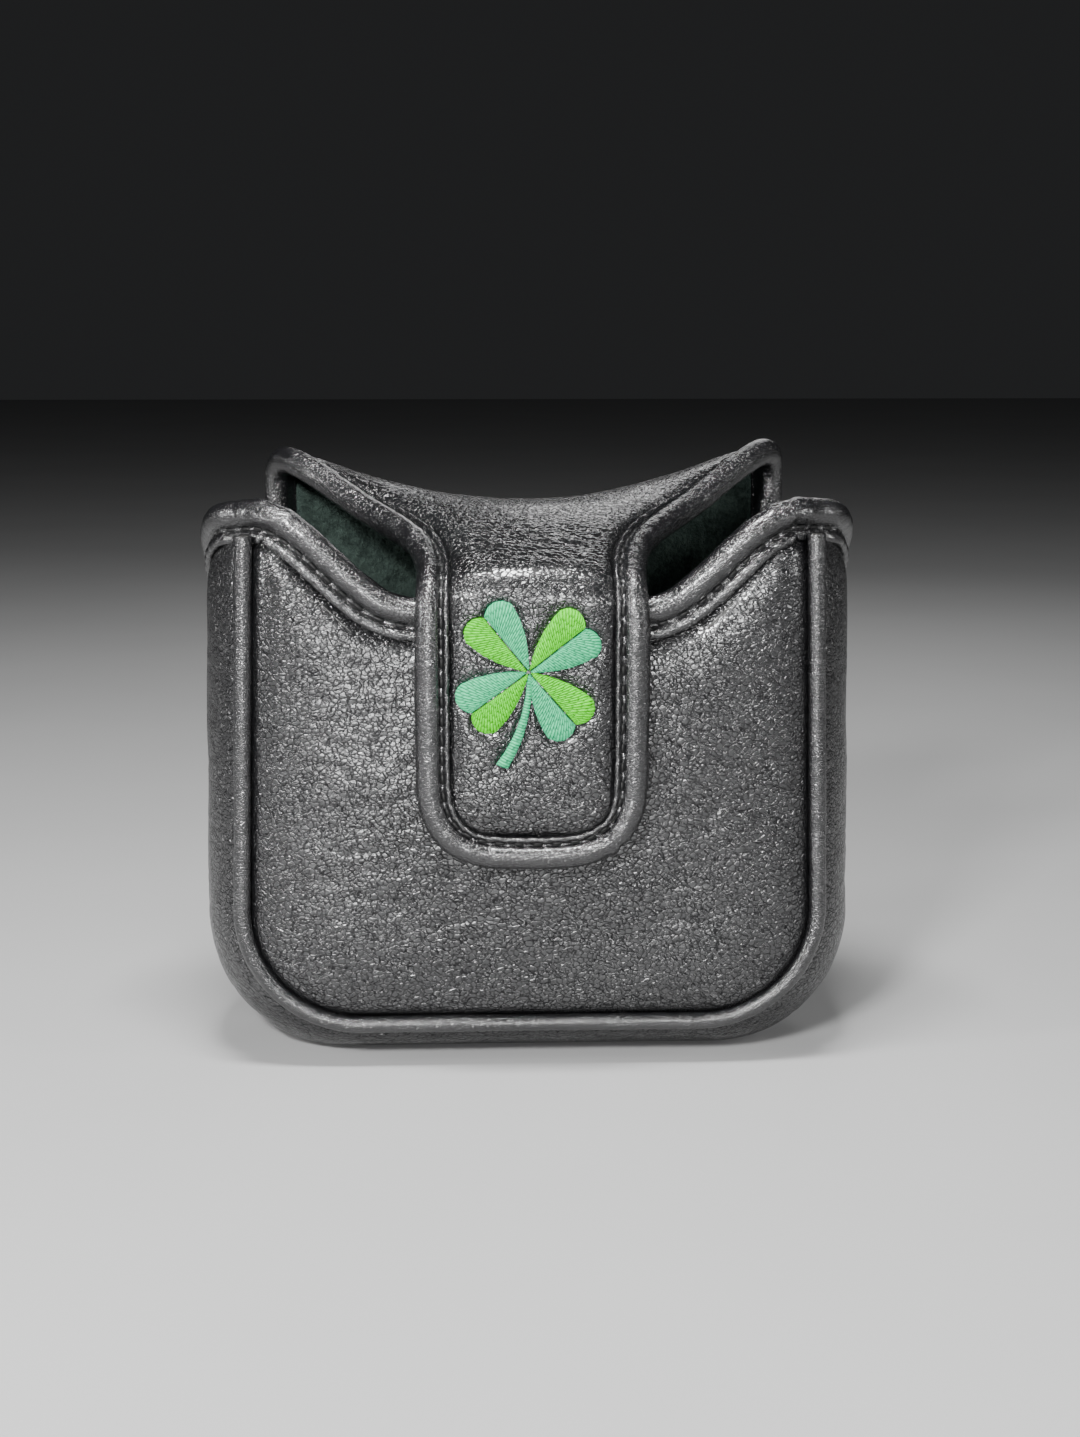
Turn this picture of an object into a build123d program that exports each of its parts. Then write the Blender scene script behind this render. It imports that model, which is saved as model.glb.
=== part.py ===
"""Putter head cover: a padded leather pouch with a piped gusset, a rolled binding round its mouth,
and a flap that folds over the top and closes on the front with magnets under its tongue.

Row frame, millimetres: +X to the wearer's right seen from the front, +Y to the back, +Z up.
The origin is on the floor, under the middle of the pouch's gusset.
"""

from build123d import *
import math
import os

os.makedirs("parts", exist_ok=True)

# ---- driving dimensions ------------------------------------------------------------------
# wall layers, from the outside in
LEATHER = 1.2
FOAM = 2.5
LINING = 1.8
WALL = LEATHER + FOAM + LINING
LAYER_GAP = 0.02          # air between two layers that lie on each other
MOUTH_MARGIN = 9.0        # the foam stops this far short of the mouth's edge
FLAP_MARGIN = 7.0         # and this far short of the flap's binding
TONGUE_MARGIN = 5.0       # and of the tongue's

# pouch
SEAM_Y = 22.0             # the piped seams lie at -SEAM_Y and +SEAM_Y
MID_Y = 14.0              # gusset sections between the seams and the middle
SEAM_HALF = 52.8          # half width of a seam at REF_Z
MID_HALF = 59.6
FULL_HALF = 63.0
REF_Z = 110.0
SEAM_FLARE = 2.5 / 90.0   # half width gained per millimetre downwards
MID_FLARE = 2.3 / 90.0
FULL_FLARE = 2.0 / 90.0
SEAM_LOW = 9.7            # lowest point of a seam
MID_LOW = 1.1
FULL_LOW = -1.5           # the gusset is pressed flat against the floor
SEAM_CORNER = 22.0
FULL_CORNER = 28.0
PANEL_CROWN = 5.5         # how far a panel swells past its seam
OPEN_TOP = 132.0          # the pouch solids run up to here before the mouth is cut

# mouth
MOUTH_DIP_Z = 90.5        # middle of the front edge
MOUTH_RISE = 18.0
DIP_HALF = 22.0           # the dip is flat to here
EAR_HALF = 50.0           # the front edge is highest from here
MOUTH_BACK_DROP = 24.5    # the side edge falls this much towards the back
MOUTH_SIDE_Y = 20.0
ROOT_HALF = 52.4          # half width of the back panel above the mouth

# bindings and piping
ROLL_R = 2.7
ROLL_CORE_R = 1.5
PIPING_R = 1.9
PIPING_CORE_R = 1.0
PIPING_OUT = 1.0          # the piping's middle stands this far outside the seam, both ways
MOUTH_ROLL_INSET = 1.6    # from the gusset's outer face to the middle of the roll

# flap
BACK_FOLD_R = 8.0         # outside radius of the fold at the back
BACK_FOLD_Z = 99.5        # the fold starts here in the middle, and higher towards the ears
ROOT_Z = 95.0             # the back panel turns into the flap here
CROWN_Z = 109.0           # top of the crown, in the middle
FRONT_FOLD_R = 9.0
FRONT_FOLD_Z = 92.5
FRONT_FOLD_TURN = 66.0    # degrees of leather between the crown and the tongue
TONGUE_FACE_Y = -33.4     # outer face of the tongue
EAR_X = 50.0
EAR_LIFT = 9.5            # the flap rises this much towards the ears at the back
SHOULDER_DROP = -11.0     # and falls this much, were it as wide, at the front
FLAP_BACK_HALF = 51.8     # to the middle of the binding roll
TONGUE_HALF = 19.3
TONGUE_LOW = 44.7
TONGUE_CORNER = 11.5
FOLD_GAP = 0.4            # between the solids on each side of a fold

# closure
MAGNET_R = 6.0
MAGNET_T = 2.0
MAGNET_X = 7.5
MAGNET_Z = 58.0
POCKET_GAP = 0.1          # air round a magnet in its pocket

# embroidery
CLOVER_X = -0.7
CLOVER_Z = 80.2
LEAF_LENGTH = 14.4
LEAF_HALF = 5.5
LEAF_TURNS = (38.0, 129.0, 216.0, 311.0)
THREAD_T = 0.5

FRONT = Plane(origin=(0, 0, 0), x_dir=(1, 0, 0), z_dir=(0, -1, 0))   # local y is +Z
SIDE = Plane(origin=(0, 0, 0), x_dir=(0, 1, 0), z_dir=(1, 0, 0))     # local x is +Y, local y is +Z


def at_y(y):
    """The front plane moved to a depth."""
    return Plane(origin=(0, y, 0), x_dir=(1, 0, 0), z_dir=(0, -1, 0))


def save(name, shape):
    """Writes one sub-part, as its solids."""
    solids = [s for s in shape.solids() if s.volume > 0.5]
    export_step(solids[0] if len(solids) == 1 else Compound(children=solids), f"parts/{name}.step")
    print(name, len(solids), round(sum(s.volume for s in solids), 1))


# ---- pouch surfaces ----------------------------------------------------------------------
def u_section(y, half, flare, low, corner, inset):
    """One upright U of the pouch at a depth, drawn inset from the outer surface."""
    top_half = half - flare * (OPEN_TOP - REF_Z) - inset
    low_half = half + flare * (REF_Z - low) - inset
    base = low + inset
    flat = Polygon(
        (-top_half, OPEN_TOP), (-low_half, base), (low_half, base), (top_half, OPEN_TOP), align=None
    )
    flat = fillet(flat.vertices().sort_by(Axis.Y)[:2], max(corner - inset, 3.0))
    return (at_y(y) * flat).face()


def pouch_core(inset):
    """The pouch as a filled solid, inset from its outer surface: gusset barrel and two crowned ends."""
    seam = SEAM_Y - inset
    mid = MID_Y * seam / SEAM_Y
    barrel = loft([
        u_section(-seam, SEAM_HALF, SEAM_FLARE, SEAM_LOW, SEAM_CORNER, inset),
        u_section(-mid, MID_HALF, MID_FLARE, MID_LOW, FULL_CORNER, inset),
        u_section(0, FULL_HALF, FULL_FLARE, FULL_LOW, FULL_CORNER, inset),
        u_section(mid, MID_HALF, MID_FLARE, MID_LOW, FULL_CORNER, inset),
        u_section(seam, SEAM_HALF, SEAM_FLARE, SEAM_LOW, SEAM_CORNER, inset),
    ])
    solid = barrel
    for side in (-1, 1):
        crown = loft([
            u_section(side * (seam + PANEL_CROWN * share), SEAM_HALF, SEAM_FLARE, SEAM_LOW,
                      SEAM_CORNER, inset + step)
            for share, step in ((0.0, 0.0), (0.55, 5.0), (0.87, 13.0), (1.0, 26.0))
        ], ruled=True)
        solid = solid + crown
    floor = Pos(0, 0, 200 + inset) * Box(400, 400, 400)
    return solid & floor


def mouth_front(x):
    """Height of the mouth's edge on the front panel."""
    t = min(max((abs(x) - DIP_HALF) / (EAR_HALF - DIP_HALF), 0.0), 1.0)
    return MOUTH_DIP_Z + MOUTH_RISE * t * t * (3 - 2 * t)


def mouth_side(y):
    """Height of the mouth's edge on the gusset."""
    t = min(max((y + MOUTH_SIDE_Y) / (2 * MOUTH_SIDE_Y), 0.0), 1.0)
    return MOUTH_DIP_Z + MOUTH_RISE - MOUTH_BACK_DROP * t ** 1.5


def gusset_half(y, z, inset):
    """Half width of the pouch at a depth and a height."""
    bulge = 1.0 - abs(y / SEAM_Y) ** 2.5
    seam = SEAM_HALF + SEAM_FLARE * (REF_Z - z)
    full = FULL_HALF + FULL_FLARE * (REF_Z - z)
    return seam + (full - seam) * bulge - inset


def above(plane, points, reach):
    """A solid over a curve through points on a plane, reach to each side of it."""
    curve = Spline(*points)
    sky = OPEN_TOP + 40
    outline = curve + Polyline(points[-1], (points[-1][0], sky), (points[0][0], sky), points[0])
    return extrude(plane * make_face(outline), amount=reach, both=True)


front_cutter = above(FRONT, [(x, mouth_front(x)) for x in range(-80, 81, 4)], 60)
side_cutter = above(SIDE, [(y, mouth_side(y)) for y in range(-60, 61, 4)], 120)


# ---- tubes -------------------------------------------------------------------------------
def rounded_path(points):
    """Straight runs joined by tangent arcs as large as the runs allow."""
    vectors = [Vector(*p) for p in points]
    radii = []
    for before, here, after in zip(vectors, vectors[1:], vectors[2:]):
        turn = math.radians((here - before).get_angle(after - here))
        run = min((here - before).length, (after - here).length)
        radii.append(0.45 * run / math.tan(turn / 2))
    return FilletPolyline(*points, radius=radii)


def tube(points, radius):
    """A round solid along the rounded path through points."""
    path = rounded_path(points)
    ring = Plane(origin=path @ 0, z_dir=path % 0) * Circle(radius)
    return sweep(ring, path=path, transition=Transition.ROUND)


def mirrored(points):
    """The points of a right-hand half path, led on from the left-hand half."""
    left = [(-x, y, z) for x, y, z in points if x > 0]
    return left[::-1] + points


def roll(points):
    """A binding: a leather tube and the cord that fills it."""
    core = tube(points, ROLL_CORE_R)
    return tube(points, ROLL_R) - tube(points, ROLL_CORE_R + LAYER_GAP), core


# ---- pouch -------------------------------------------------------------------------------
SKY = 400.0
insets = [0.0, LEATHER, LEATHER + FOAM, WALL]
cores = [pouch_core(inset) for inset in insets]


def slab(y_low, y_high):
    """Everything between two depths."""
    return Pos(0, (y_low + y_high) / 2, 0) * Box(SKY, y_high - y_low, SKY)


def seam_half(z):
    """Half width of a seam at a height."""
    return SEAM_HALF + SEAM_FLARE * (REF_Z - z)


half_wall = WALL / 2
mouth_front_y = half_wall - (SEAM_Y + PANEL_CROWN)
mouth_points = [
    (x, mouth_front_y + back, mouth_front(x))
    for x, back in ((DIP_HALF, 0.0), (30.0, 0.3), (36.0, 0.7), (42.0, 1.5), (47.5, 3.2))
]
for y in (-17.5, -12.0, -5.5, 1.5, 9.0, 17.0):
    z = mouth_side(y)
    mouth_points.append((gusset_half(y, z, MOUTH_ROLL_INSET), y, z))
mouth_path = mirrored(mouth_points)
mouth_binding, mouth_binding_cord = roll(mouth_path)
mouth_groove = tube(mouth_path, ROLL_R)

# the back panel's free edges carry the flap's binding, from the mouth to the fold
EAR_ROLL_Y = SEAM_Y - 1.4
ROOT_ROLL_LOW = 83.0
ROOT_ROLL_HIGH = EAR_ROLL_Y + 80.0 - 2.0
root_points = [
    (ROOT_HALF + 0.5, EAR_ROLL_Y, ROOT_ROLL_LOW),
    (ROOT_HALF, EAR_ROLL_Y + 0.2, 91.0),
    (FLAP_BACK_HALF, EAR_ROLL_Y, ROOT_ROLL_HIGH),
]


def sided(points, side):
    return [(side * x, y, z) for x, y, z in points]


def piping_points(top):
    """The U of a piping, in its own plane."""
    low_z = SEAM_LOW - PIPING_OUT
    high = seam_half(top) + PIPING_OUT
    low = seam_half(low_z) + PIPING_OUT
    return (-high, top), (-low, low_z), (low, low_z), (high, top)


def piping(side, top, radius):
    """A piping along the front (-1) or the back (1) seam."""
    plane = at_y(side * (SEAM_Y + PIPING_OUT))
    flat = FilletPolyline(*piping_points(top), radius=SEAM_CORNER + PIPING_OUT)
    path = plane * flat
    ring = Plane(origin=path @ 0, z_dir=path % 0) * Circle(radius)
    return sweep(ring, path=path)


FRONT_PIPING_TOP = 104.6
BACK_PIPING_TOP = 81.8
front_groove = piping(-1, FRONT_PIPING_TOP, PIPING_R)
back_groove = piping(1, BACK_PIPING_TOP, PIPING_R)
front_piping = front_groove - piping(-1, FRONT_PIPING_TOP, PIPING_CORE_R + LAYER_GAP)
back_piping = back_groove - piping(1, BACK_PIPING_TOP, PIPING_CORE_R + LAYER_GAP)
front_piping_cord = piping(-1, FRONT_PIPING_TOP, PIPING_CORE_R)
back_piping_cord = piping(1, BACK_PIPING_TOP, PIPING_CORE_R)


# ---- flap surfaces -----------------------------------------------------------------------
def smooth(t):
    t = min(max(t, 0.0), 1.0)
    return t * t * (3 - 2 * t)


def flap_half(y):
    """Half width of the flap at a depth, to the middle of its binding roll."""
    return TONGUE_HALF + (FLAP_BACK_HALF - TONGUE_HALF) * smooth((y + 26.0) / 52.0)


def lift(x, y):
    """How much higher the flap is at x than in its middle: up at the ears, down at the shoulders."""
    return (x / EAR_X) ** 2 * (SHOULDER_DROP + (EAR_LIFT - SHOULDER_DROP) * smooth((y + 24.0) / 39.0))


def back_face(x):
    """Depth of the back panel's outer face at ROOT_Z."""
    inset = seam_half(ROOT_Z) - abs(x)
    depths = ((0.0, 0.0), (5.0, 0.55), (13.0, 0.87), (26.0, 1.0))
    for (near, low), (far, high) in zip(depths, depths[1:]):
        if inset <= far:
            share = low + (high - low) * (inset - near) / (far - near)
            return SEAM_Y + PANEL_CROWN * share
    return SEAM_Y + PANEL_CROWN


def crown_middle(y):
    """Height of the crown's outer face in its middle."""
    back = 0.0038 * max(y, 0.0) ** 2
    front = 0.0089 * max(-y, 0.0) ** 2 + 0.0000475 * max(-y, 0.0) ** 3
    return CROWN_Z - back - front


FRONT_FOLD_Y = TONGUE_FACE_Y + FRONT_FOLD_R
TONGUE_FOOT = 36.0
CROWN_STATIONS = (9.0, 1.0, -7.0, -15.0)


def flap_line(x, inset):
    """The flap seen from the side at x: up the back, over the crown and down the tongue."""
    back_y = back_face(x) - BACK_FOLD_R
    back_z = BACK_FOLD_Z + lift(x, SEAM_Y)
    radius = BACK_FOLD_R - inset
    front_z = FRONT_FOLD_Z + lift(x, FRONT_FOLD_Y)
    front_r = FRONT_FOLD_R - inset
    top = math.radians(180 - FRONT_FOLD_TURN)
    middle = math.radians(180 - FRONT_FOLD_TURN / 2)
    start = (back_y, back_z + radius)
    end = (FRONT_FOLD_Y + front_r * math.cos(top), front_z + front_r * math.sin(top))
    over = []
    for y in CROWN_STATIONS:
        slope = (crown_middle(y + 1) + lift(x, y + 1) - crown_middle(y - 1) - lift(x, y - 1)) / 2
        length = math.hypot(1, slope)
        z = crown_middle(y) + lift(x, y)
        over.append((y + inset * slope / length, z - inset / length))
    lean = math.radians(90 - FRONT_FOLD_TURN)
    return (
        Line((back_y + radius, ROOT_Z - 10), (back_y + radius, back_z))
        + ThreePointArc(
            (back_y + radius, back_z),
            (back_y + radius * math.sqrt(0.5), back_z + radius * math.sqrt(0.5)),
            start,
        )
        + Spline(start, *over, end, tangents=[(-1, 0), (-math.cos(lean), -math.sin(lean))])
        + ThreePointArc(
            end,
            (FRONT_FOLD_Y + front_r * math.cos(middle), front_z + front_r * math.sin(middle)),
            (FRONT_FOLD_Y - front_r, front_z),
        )
        + Line((FRONT_FOLD_Y - front_r, front_z), (FRONT_FOLD_Y - front_r, TONGUE_FOOT))
    )


def flap_face(x, outer, inner):
    """A side view of the flap between two insets, standing at x."""
    out_line = flap_line(x, outer)
    in_line = flap_line(x, inner)
    foot = Line((TONGUE_FACE_Y + outer, TONGUE_FOOT), (TONGUE_FACE_Y + inner, TONGUE_FOOT))
    back = back_face(x)
    root = Line((back - outer, ROOT_Z - 10), (back - inner, ROOT_Z - 10))
    plane = Plane(origin=(x, 0, 0), x_dir=(0, 1, 0), z_dir=(1, 0, 0))
    return (plane * make_face(out_line + foot + in_line + root)).face()


def flap_layer(outer, inner):
    """One layer of the whole flap, wider than it will be."""
    edge = seam_half(ROOT_Z)
    right = [0.0, 14.0, edge - 26.0, edge - 13.0, edge - 5.0, edge, edge + 4.0]
    stations = [-x for x in right[:0:-1]] + right
    return loft([flap_face(x, outer, inner) for x in stations], ruled=True)


# ---- folds -------------------------------------------------------------------------------
BACK_PIVOT_OUT = 1.6      # the pivot of a fold lies this far outside its leather
FRONT_PIVOT_OUT = 0.9
CREASE_R = 2.1            # the leather is relieved this far round the back fold's pivot
BACK_FOLD_Y = SEAM_Y + PANEL_CROWN - BACK_FOLD_R
BACK_MITRE = 45.0         # degrees above +Y
FRONT_MITRE = 180 - FRONT_FOLD_TURN / 2


def fold_pivot(y, z, radius, angle):
    turn = math.radians(angle)
    return y + radius * math.cos(turn), z + radius * math.sin(turn)


def beyond(y, z, angle, gap):
    """The half space on the far side, turning anticlockwise, of a mitre plane through an axis."""
    turn = math.radians(angle)
    normal = Vector(0, -math.sin(turn), math.cos(turn))
    plane = Plane(origin=Vector(0, y, z) + normal * gap, x_dir=(1, 0, 0), z_dir=normal)
    return extrude(plane * Rectangle(SKY, SKY), amount=SKY)


def before(y, z, angle, gap):
    """The half space on the near side of a mitre plane through an axis."""
    turn = math.radians(angle)
    normal = Vector(0, math.sin(turn), -math.cos(turn))
    plane = Plane(origin=Vector(0, y, z) + normal * gap, x_dir=(1, 0, 0), z_dir=normal)
    return extrude(plane * Rectangle(SKY, SKY), amount=SKY)


half_gap = FOLD_GAP / 2
back_pivot = fold_pivot(BACK_FOLD_Y, BACK_FOLD_Z, BACK_FOLD_R + BACK_PIVOT_OUT, BACK_MITRE)
front_pivot = fold_pivot(FRONT_FOLD_Y, FRONT_FOLD_Z, FRONT_FOLD_R + FRONT_PIVOT_OUT, FRONT_MITRE)
print("flap_fold pivot", back_pivot)
print("tongue_fold pivot", front_pivot)
crease = Plane(origin=(0, *back_pivot), z_dir=(1, 0, 0)) * Cylinder(CREASE_R, SKY)
root_side = before(BACK_FOLD_Y, BACK_FOLD_Z, BACK_MITRE, half_gap) - crease
crown_back = beyond(BACK_FOLD_Y, BACK_FOLD_Z, BACK_MITRE, half_gap) - crease
crown_front = before(FRONT_FOLD_Y, FRONT_FOLD_Z, FRONT_MITRE, half_gap)
tongue_side = beyond(FRONT_FOLD_Y, FRONT_FOLD_Z, FRONT_MITRE, half_gap)
tongue_side = tongue_side & slab(-SKY / 2, TONGUE_FACE_Y + WALL)

# ---- flap bindings -----------------------------------------------------------------------


def mid_wall(x, y):
    """Height of the middle of the crown's wall."""
    return crown_middle(y) + lift(x, y) - half_wall


EAR_TOP = mid_wall(FLAP_BACK_HALF, 14.0) - 0.3
crown_points = [
    (FLAP_BACK_HALF, EAR_ROLL_Y, ROOT_ROLL_HIGH + 1.2),
    (FLAP_BACK_HALF - 0.3, EAR_ROLL_Y, EAR_TOP - 4.5),
    (FLAP_BACK_HALF - 1.6, EAR_ROLL_Y - 1.6, EAR_TOP - 0.6),
]
for y in (14.0, 8.0, 2.0, -4.0, -10.0, -16.0, -21.5, -26.0):
    crown_points.append((flap_half(y), y, mid_wall(flap_half(y), y)))
crown_points[-1] = (TONGUE_HALF + 0.1, -26.9, crown_points[-1][2] - 1.0)
fold_end = math.radians(FRONT_MITRE)
fold_mid_r = FRONT_FOLD_R - half_wall
tongue_top_z = FRONT_FOLD_Z + lift(TONGUE_HALF, FRONT_FOLD_Y)
crown_points.append((
    TONGUE_HALF,
    FRONT_FOLD_Y + fold_mid_r * math.cos(fold_end) + 0.7,
    tongue_top_z + fold_mid_r * math.sin(fold_end) + 1.6,
))

TONGUE_ROLL_Y = TONGUE_FACE_Y + half_wall


def tongue_roll(radius):
    """The U of the tongue's binding, open at the top."""
    top = tongue_top_z + 1.5
    flat = FilletPolyline(
        (-TONGUE_HALF, top), (-TONGUE_HALF, TONGUE_LOW), (TONGUE_HALF, TONGUE_LOW), (TONGUE_HALF, top),
        radius=TONGUE_CORNER,
    )
    path = at_y(TONGUE_ROLL_Y) * flat
    ring = Plane(origin=path @ 0, z_dir=path % 0) * Circle(radius)
    return sweep(ring, path=path)


tongue_groove = tongue_roll(ROLL_R)
tongue_binding = tongue_groove - tongue_roll(ROLL_CORE_R + LAYER_GAP)
tongue_binding_cord = tongue_roll(ROLL_CORE_R)

# ---- closure -----------------------------------------------------------------------------
FRONT_FACE_Y = -(SEAM_Y + PANEL_CROWN)
front_magnet_y = FRONT_FACE_Y + LEATHER + FOAM / 2
tongue_magnet_y = TONGUE_FACE_Y + LEATHER + FOAM / 2


def discs(y, radius, thickness):
    """The pair of magnet discs, or their pockets, at a depth."""
    pair = [at_y(y) * Pos(side * MAGNET_X, MAGNET_Z, 0) * Cylinder(radius, thickness) for side in (-1, 1)]
    return pair[0] + pair[1]


def pockets(y):
    return discs(y, MAGNET_R + POCKET_GAP, MAGNET_T + 2 * POCKET_GAP)


# ---- embroidery --------------------------------------------------------------------------
def half_leaf(turn, side):
    """Half a heart-shaped leaf, to one side of its vein."""
    vein = side * 0.12
    notch = (0.91 * LEAF_LENGTH, vein)
    root = (0.9, vein)
    belly = (0.45 * LEAF_LENGTH, side * 0.62 * LEAF_HALF)
    shoulder = (0.80 * LEAF_LENGTH, side * LEAF_HALF)
    lobe = (0.985 * LEAF_LENGTH, side * 0.55 * LEAF_HALF)
    outline = ThreePointArc(root, belly, shoulder) + ThreePointArc(shoulder, lobe, notch) + Line(notch, root)
    placed = Pos(CLOVER_X, CLOVER_Z) * Rot(0, 0, turn) * make_face(outline)
    return extrude(at_y(TONGUE_FACE_Y) * placed, amount=THREAD_T)


def stem():
    """The stem, a hook from the middle of the clover that widens towards its cut end."""
    top_left, mid_left, end_left = (-0.4, -2.7), (-2.0, -9.4), (-6.2, -17.5)
    top_right, mid_right, end_right = (0.3, -2.7), (-0.6, -9.9), (-4.1, -18.4)
    outline = (
        ThreePointArc(top_left, mid_left, end_left)
        + Line(end_left, end_right)
        + ThreePointArc(end_right, mid_right, top_right)
        + Line(top_right, top_left)
    )
    placed = Pos(CLOVER_X, CLOVER_Z) * make_face(outline)
    return extrude(at_y(TONGUE_FACE_Y) * placed, amount=THREAD_T)


def joined(shapes):
    return Compound(children=[s for shape in shapes for s in shape.solids()])


# ---- write the sub-parts -----------------------------------------------------------------
layer_names = ("", "_foam", "_lining")
above_root = Pos(0, 0, ROOT_Z + SKY / 2) * Box(SKY, SKY, SKY)


def above_mouth(margin):
    """Everything beside the root of the flap, from margin below the mouth's ends."""
    beside = Box(SKY, SKY, SKY) - Box(2 * (ROOT_HALF - FLAP_MARGIN * margin / MOUTH_MARGIN), SKY, SKY)
    return Pos(0, 0, ROOT_ROLL_LOW - margin + SKY / 2) * beside


def flap_plan(margin):
    """The crown's plan as an upright prism, margin inside the middle of its binding."""
    depths = [60.0, 26.0] + [26.0 - 4.0 * step for step in range(1, 13)]
    right = [(flap_half(y) - margin, y) for y in depths] + [(TONGUE_HALF - margin, -60.0)]
    left = [(-x, y) for x, y in right[::-1]]
    return extrude(make_face(Polyline(*right, *left, close=True)), amount=SKY)


def tongue_plan(margin):
    """The tongue's front view as a prism, margin inside the middle of its binding."""
    half, low, top = TONGUE_HALF - margin, TONGUE_LOW + margin, 120.0
    sides = FilletPolyline(
        (-half, top), (-half, low), (half, low), (half, top), radius=TONGUE_CORNER - margin, close=False
    )
    return extrude(at_y(0) * make_face(sides + Line((half, top), (-half, top))), amount=SKY, both=True)


root_tubes = [tube(sided(root_points, side), ROLL_R) for side in (-1, 1)]
crown_tubes = [tube(sided(crown_points, side), ROLL_R) for side in (-1, 1)]
side_names = ("left", "right")

for layer, (outer, inner) in enumerate(zip(insets, insets[1:])):
    name = layer_names[layer]
    wall = cores[layer] - cores[layer + 1]
    seam = SEAM_Y - inner
    flap = flap_layer(outer, inner)
    foam = layer == 1
    mouth_margin = MOUTH_MARGIN if foam else 0.0
    flap_margin = FLAP_MARGIN if foam else 0.0
    tongue_margin = TONGUE_MARGIN if foam else 0.0

    front = (wall & slab(-SKY / 2, -seam)) - Pos(0, 0, -mouth_margin) * front_cutter - mouth_groove
    back = (wall & slab(seam, SKY / 2)) - above_root
    root = flap & above_root & root_side
    back = (back + root) - above_mouth(mouth_margin) - root_tubes[0] - root_tubes[1]
    gusset = (wall & slab(-seam, seam)) - Pos(0, 0, -mouth_margin) * side_cutter - mouth_groove
    if layer == 0:
        front = front - front_groove
        back = back - back_groove
        gusset = gusset - front_groove - back_groove
    gusset = gusset - root_tubes[0] - root_tubes[1]
    crown = flap & crown_back & crown_front & flap_plan(flap_margin)
    crown = crown - crown_tubes[0] - crown_tubes[1]
    tongue = (flap & tongue_side & tongue_plan(tongue_margin)) - tongue_groove
    if foam:
        front = front - pockets(front_magnet_y)
        tongue = tongue - pockets(tongue_magnet_y)
    save("front_panel" if layer == 0 else "front" + name, front)
    save("back_panel" if layer == 0 else "back" + name, back)
    save("gusset" + name, gusset)
    save("crown_panel" if layer == 0 else "crown" + name, crown)
    save("tongue_panel" if layer == 0 else "tongue" + name, tongue)

save("front_piping", front_piping)
save("front_piping_cord", front_piping_cord)
save("back_piping", back_piping)
save("back_piping_cord", back_piping_cord)
save("mouth_binding", mouth_binding)
save("mouth_binding_cord", mouth_binding_cord)
for side, side_name in zip((-1, 1), side_names):
    root_roll, root_cord = roll(sided(root_points, side))
    crown_roll, crown_cord = roll(sided(crown_points, side))
    save(f"back_binding_{side_name}", root_roll & root_side)
    save(f"back_binding_cord_{side_name}", root_cord & root_side)
    save(f"crown_binding_{side_name}", crown_roll & crown_back & crown_front)
    save(f"crown_binding_cord_{side_name}", crown_cord & crown_back & crown_front)
save("tongue_binding", tongue_binding & tongue_side)
save("tongue_binding_cord", tongue_binding_cord & tongue_side)
save("front_magnets", discs(front_magnet_y, MAGNET_R, MAGNET_T))
save("tongue_magnets", discs(tongue_magnet_y, MAGNET_R, MAGNET_T))
save("clover_lime_thread", joined([half_leaf(turn, 1) for turn in LEAF_TURNS]))
save("clover_mint_thread", joined([half_leaf(turn, -1) for turn in LEAF_TURNS]))
save("clover_stem_thread", stem())
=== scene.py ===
import bpy
import math
import numpy as np
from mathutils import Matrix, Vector


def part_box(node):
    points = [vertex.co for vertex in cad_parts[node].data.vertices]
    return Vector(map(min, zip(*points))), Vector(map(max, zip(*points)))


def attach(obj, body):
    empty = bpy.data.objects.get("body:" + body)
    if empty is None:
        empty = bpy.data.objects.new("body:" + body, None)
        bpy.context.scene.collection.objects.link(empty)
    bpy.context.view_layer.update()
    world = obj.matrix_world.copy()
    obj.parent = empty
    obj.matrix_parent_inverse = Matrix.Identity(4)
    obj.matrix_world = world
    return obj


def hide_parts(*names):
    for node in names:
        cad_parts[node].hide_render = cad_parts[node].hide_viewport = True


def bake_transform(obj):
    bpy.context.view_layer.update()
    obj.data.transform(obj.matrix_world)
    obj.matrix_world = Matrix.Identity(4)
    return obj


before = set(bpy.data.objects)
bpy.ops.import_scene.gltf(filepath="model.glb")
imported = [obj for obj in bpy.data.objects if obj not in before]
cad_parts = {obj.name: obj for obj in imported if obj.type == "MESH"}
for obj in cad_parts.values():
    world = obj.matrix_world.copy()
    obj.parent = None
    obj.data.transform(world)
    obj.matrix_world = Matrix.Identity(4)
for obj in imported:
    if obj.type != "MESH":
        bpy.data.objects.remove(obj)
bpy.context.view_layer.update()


# ---- camera ----
def aimed(name, data, place, direction):
    """An object in the scene that looks along direction."""
    made = bpy.data.objects.new(name, data)
    made.location = place
    made.rotation_euler = Vector(direction).to_track_quat("-Z", "Y").to_euler()
    bpy.context.scene.collection.objects.link(made)
    return made


CAMERA_TARGET = np.array([0.0025, 0.0, 0.065])
CAMERA_AWAY = 0.430
azimuth, elevation = math.radians(-2.0), math.radians(11.0)
back_dir = np.array([
    math.sin(azimuth) * math.cos(elevation), -math.cos(azimuth) * math.cos(elevation), math.sin(elevation)
])
camera_data = bpy.data.cameras.new("camera")
camera_data.lens = 53.3
camera_data.clip_start, camera_data.clip_end = 0.01, 20
camera = aimed("camera", camera_data, CAMERA_TARGET + back_dir * CAMERA_AWAY, -back_dir)
bpy.context.scene.camera = camera

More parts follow.
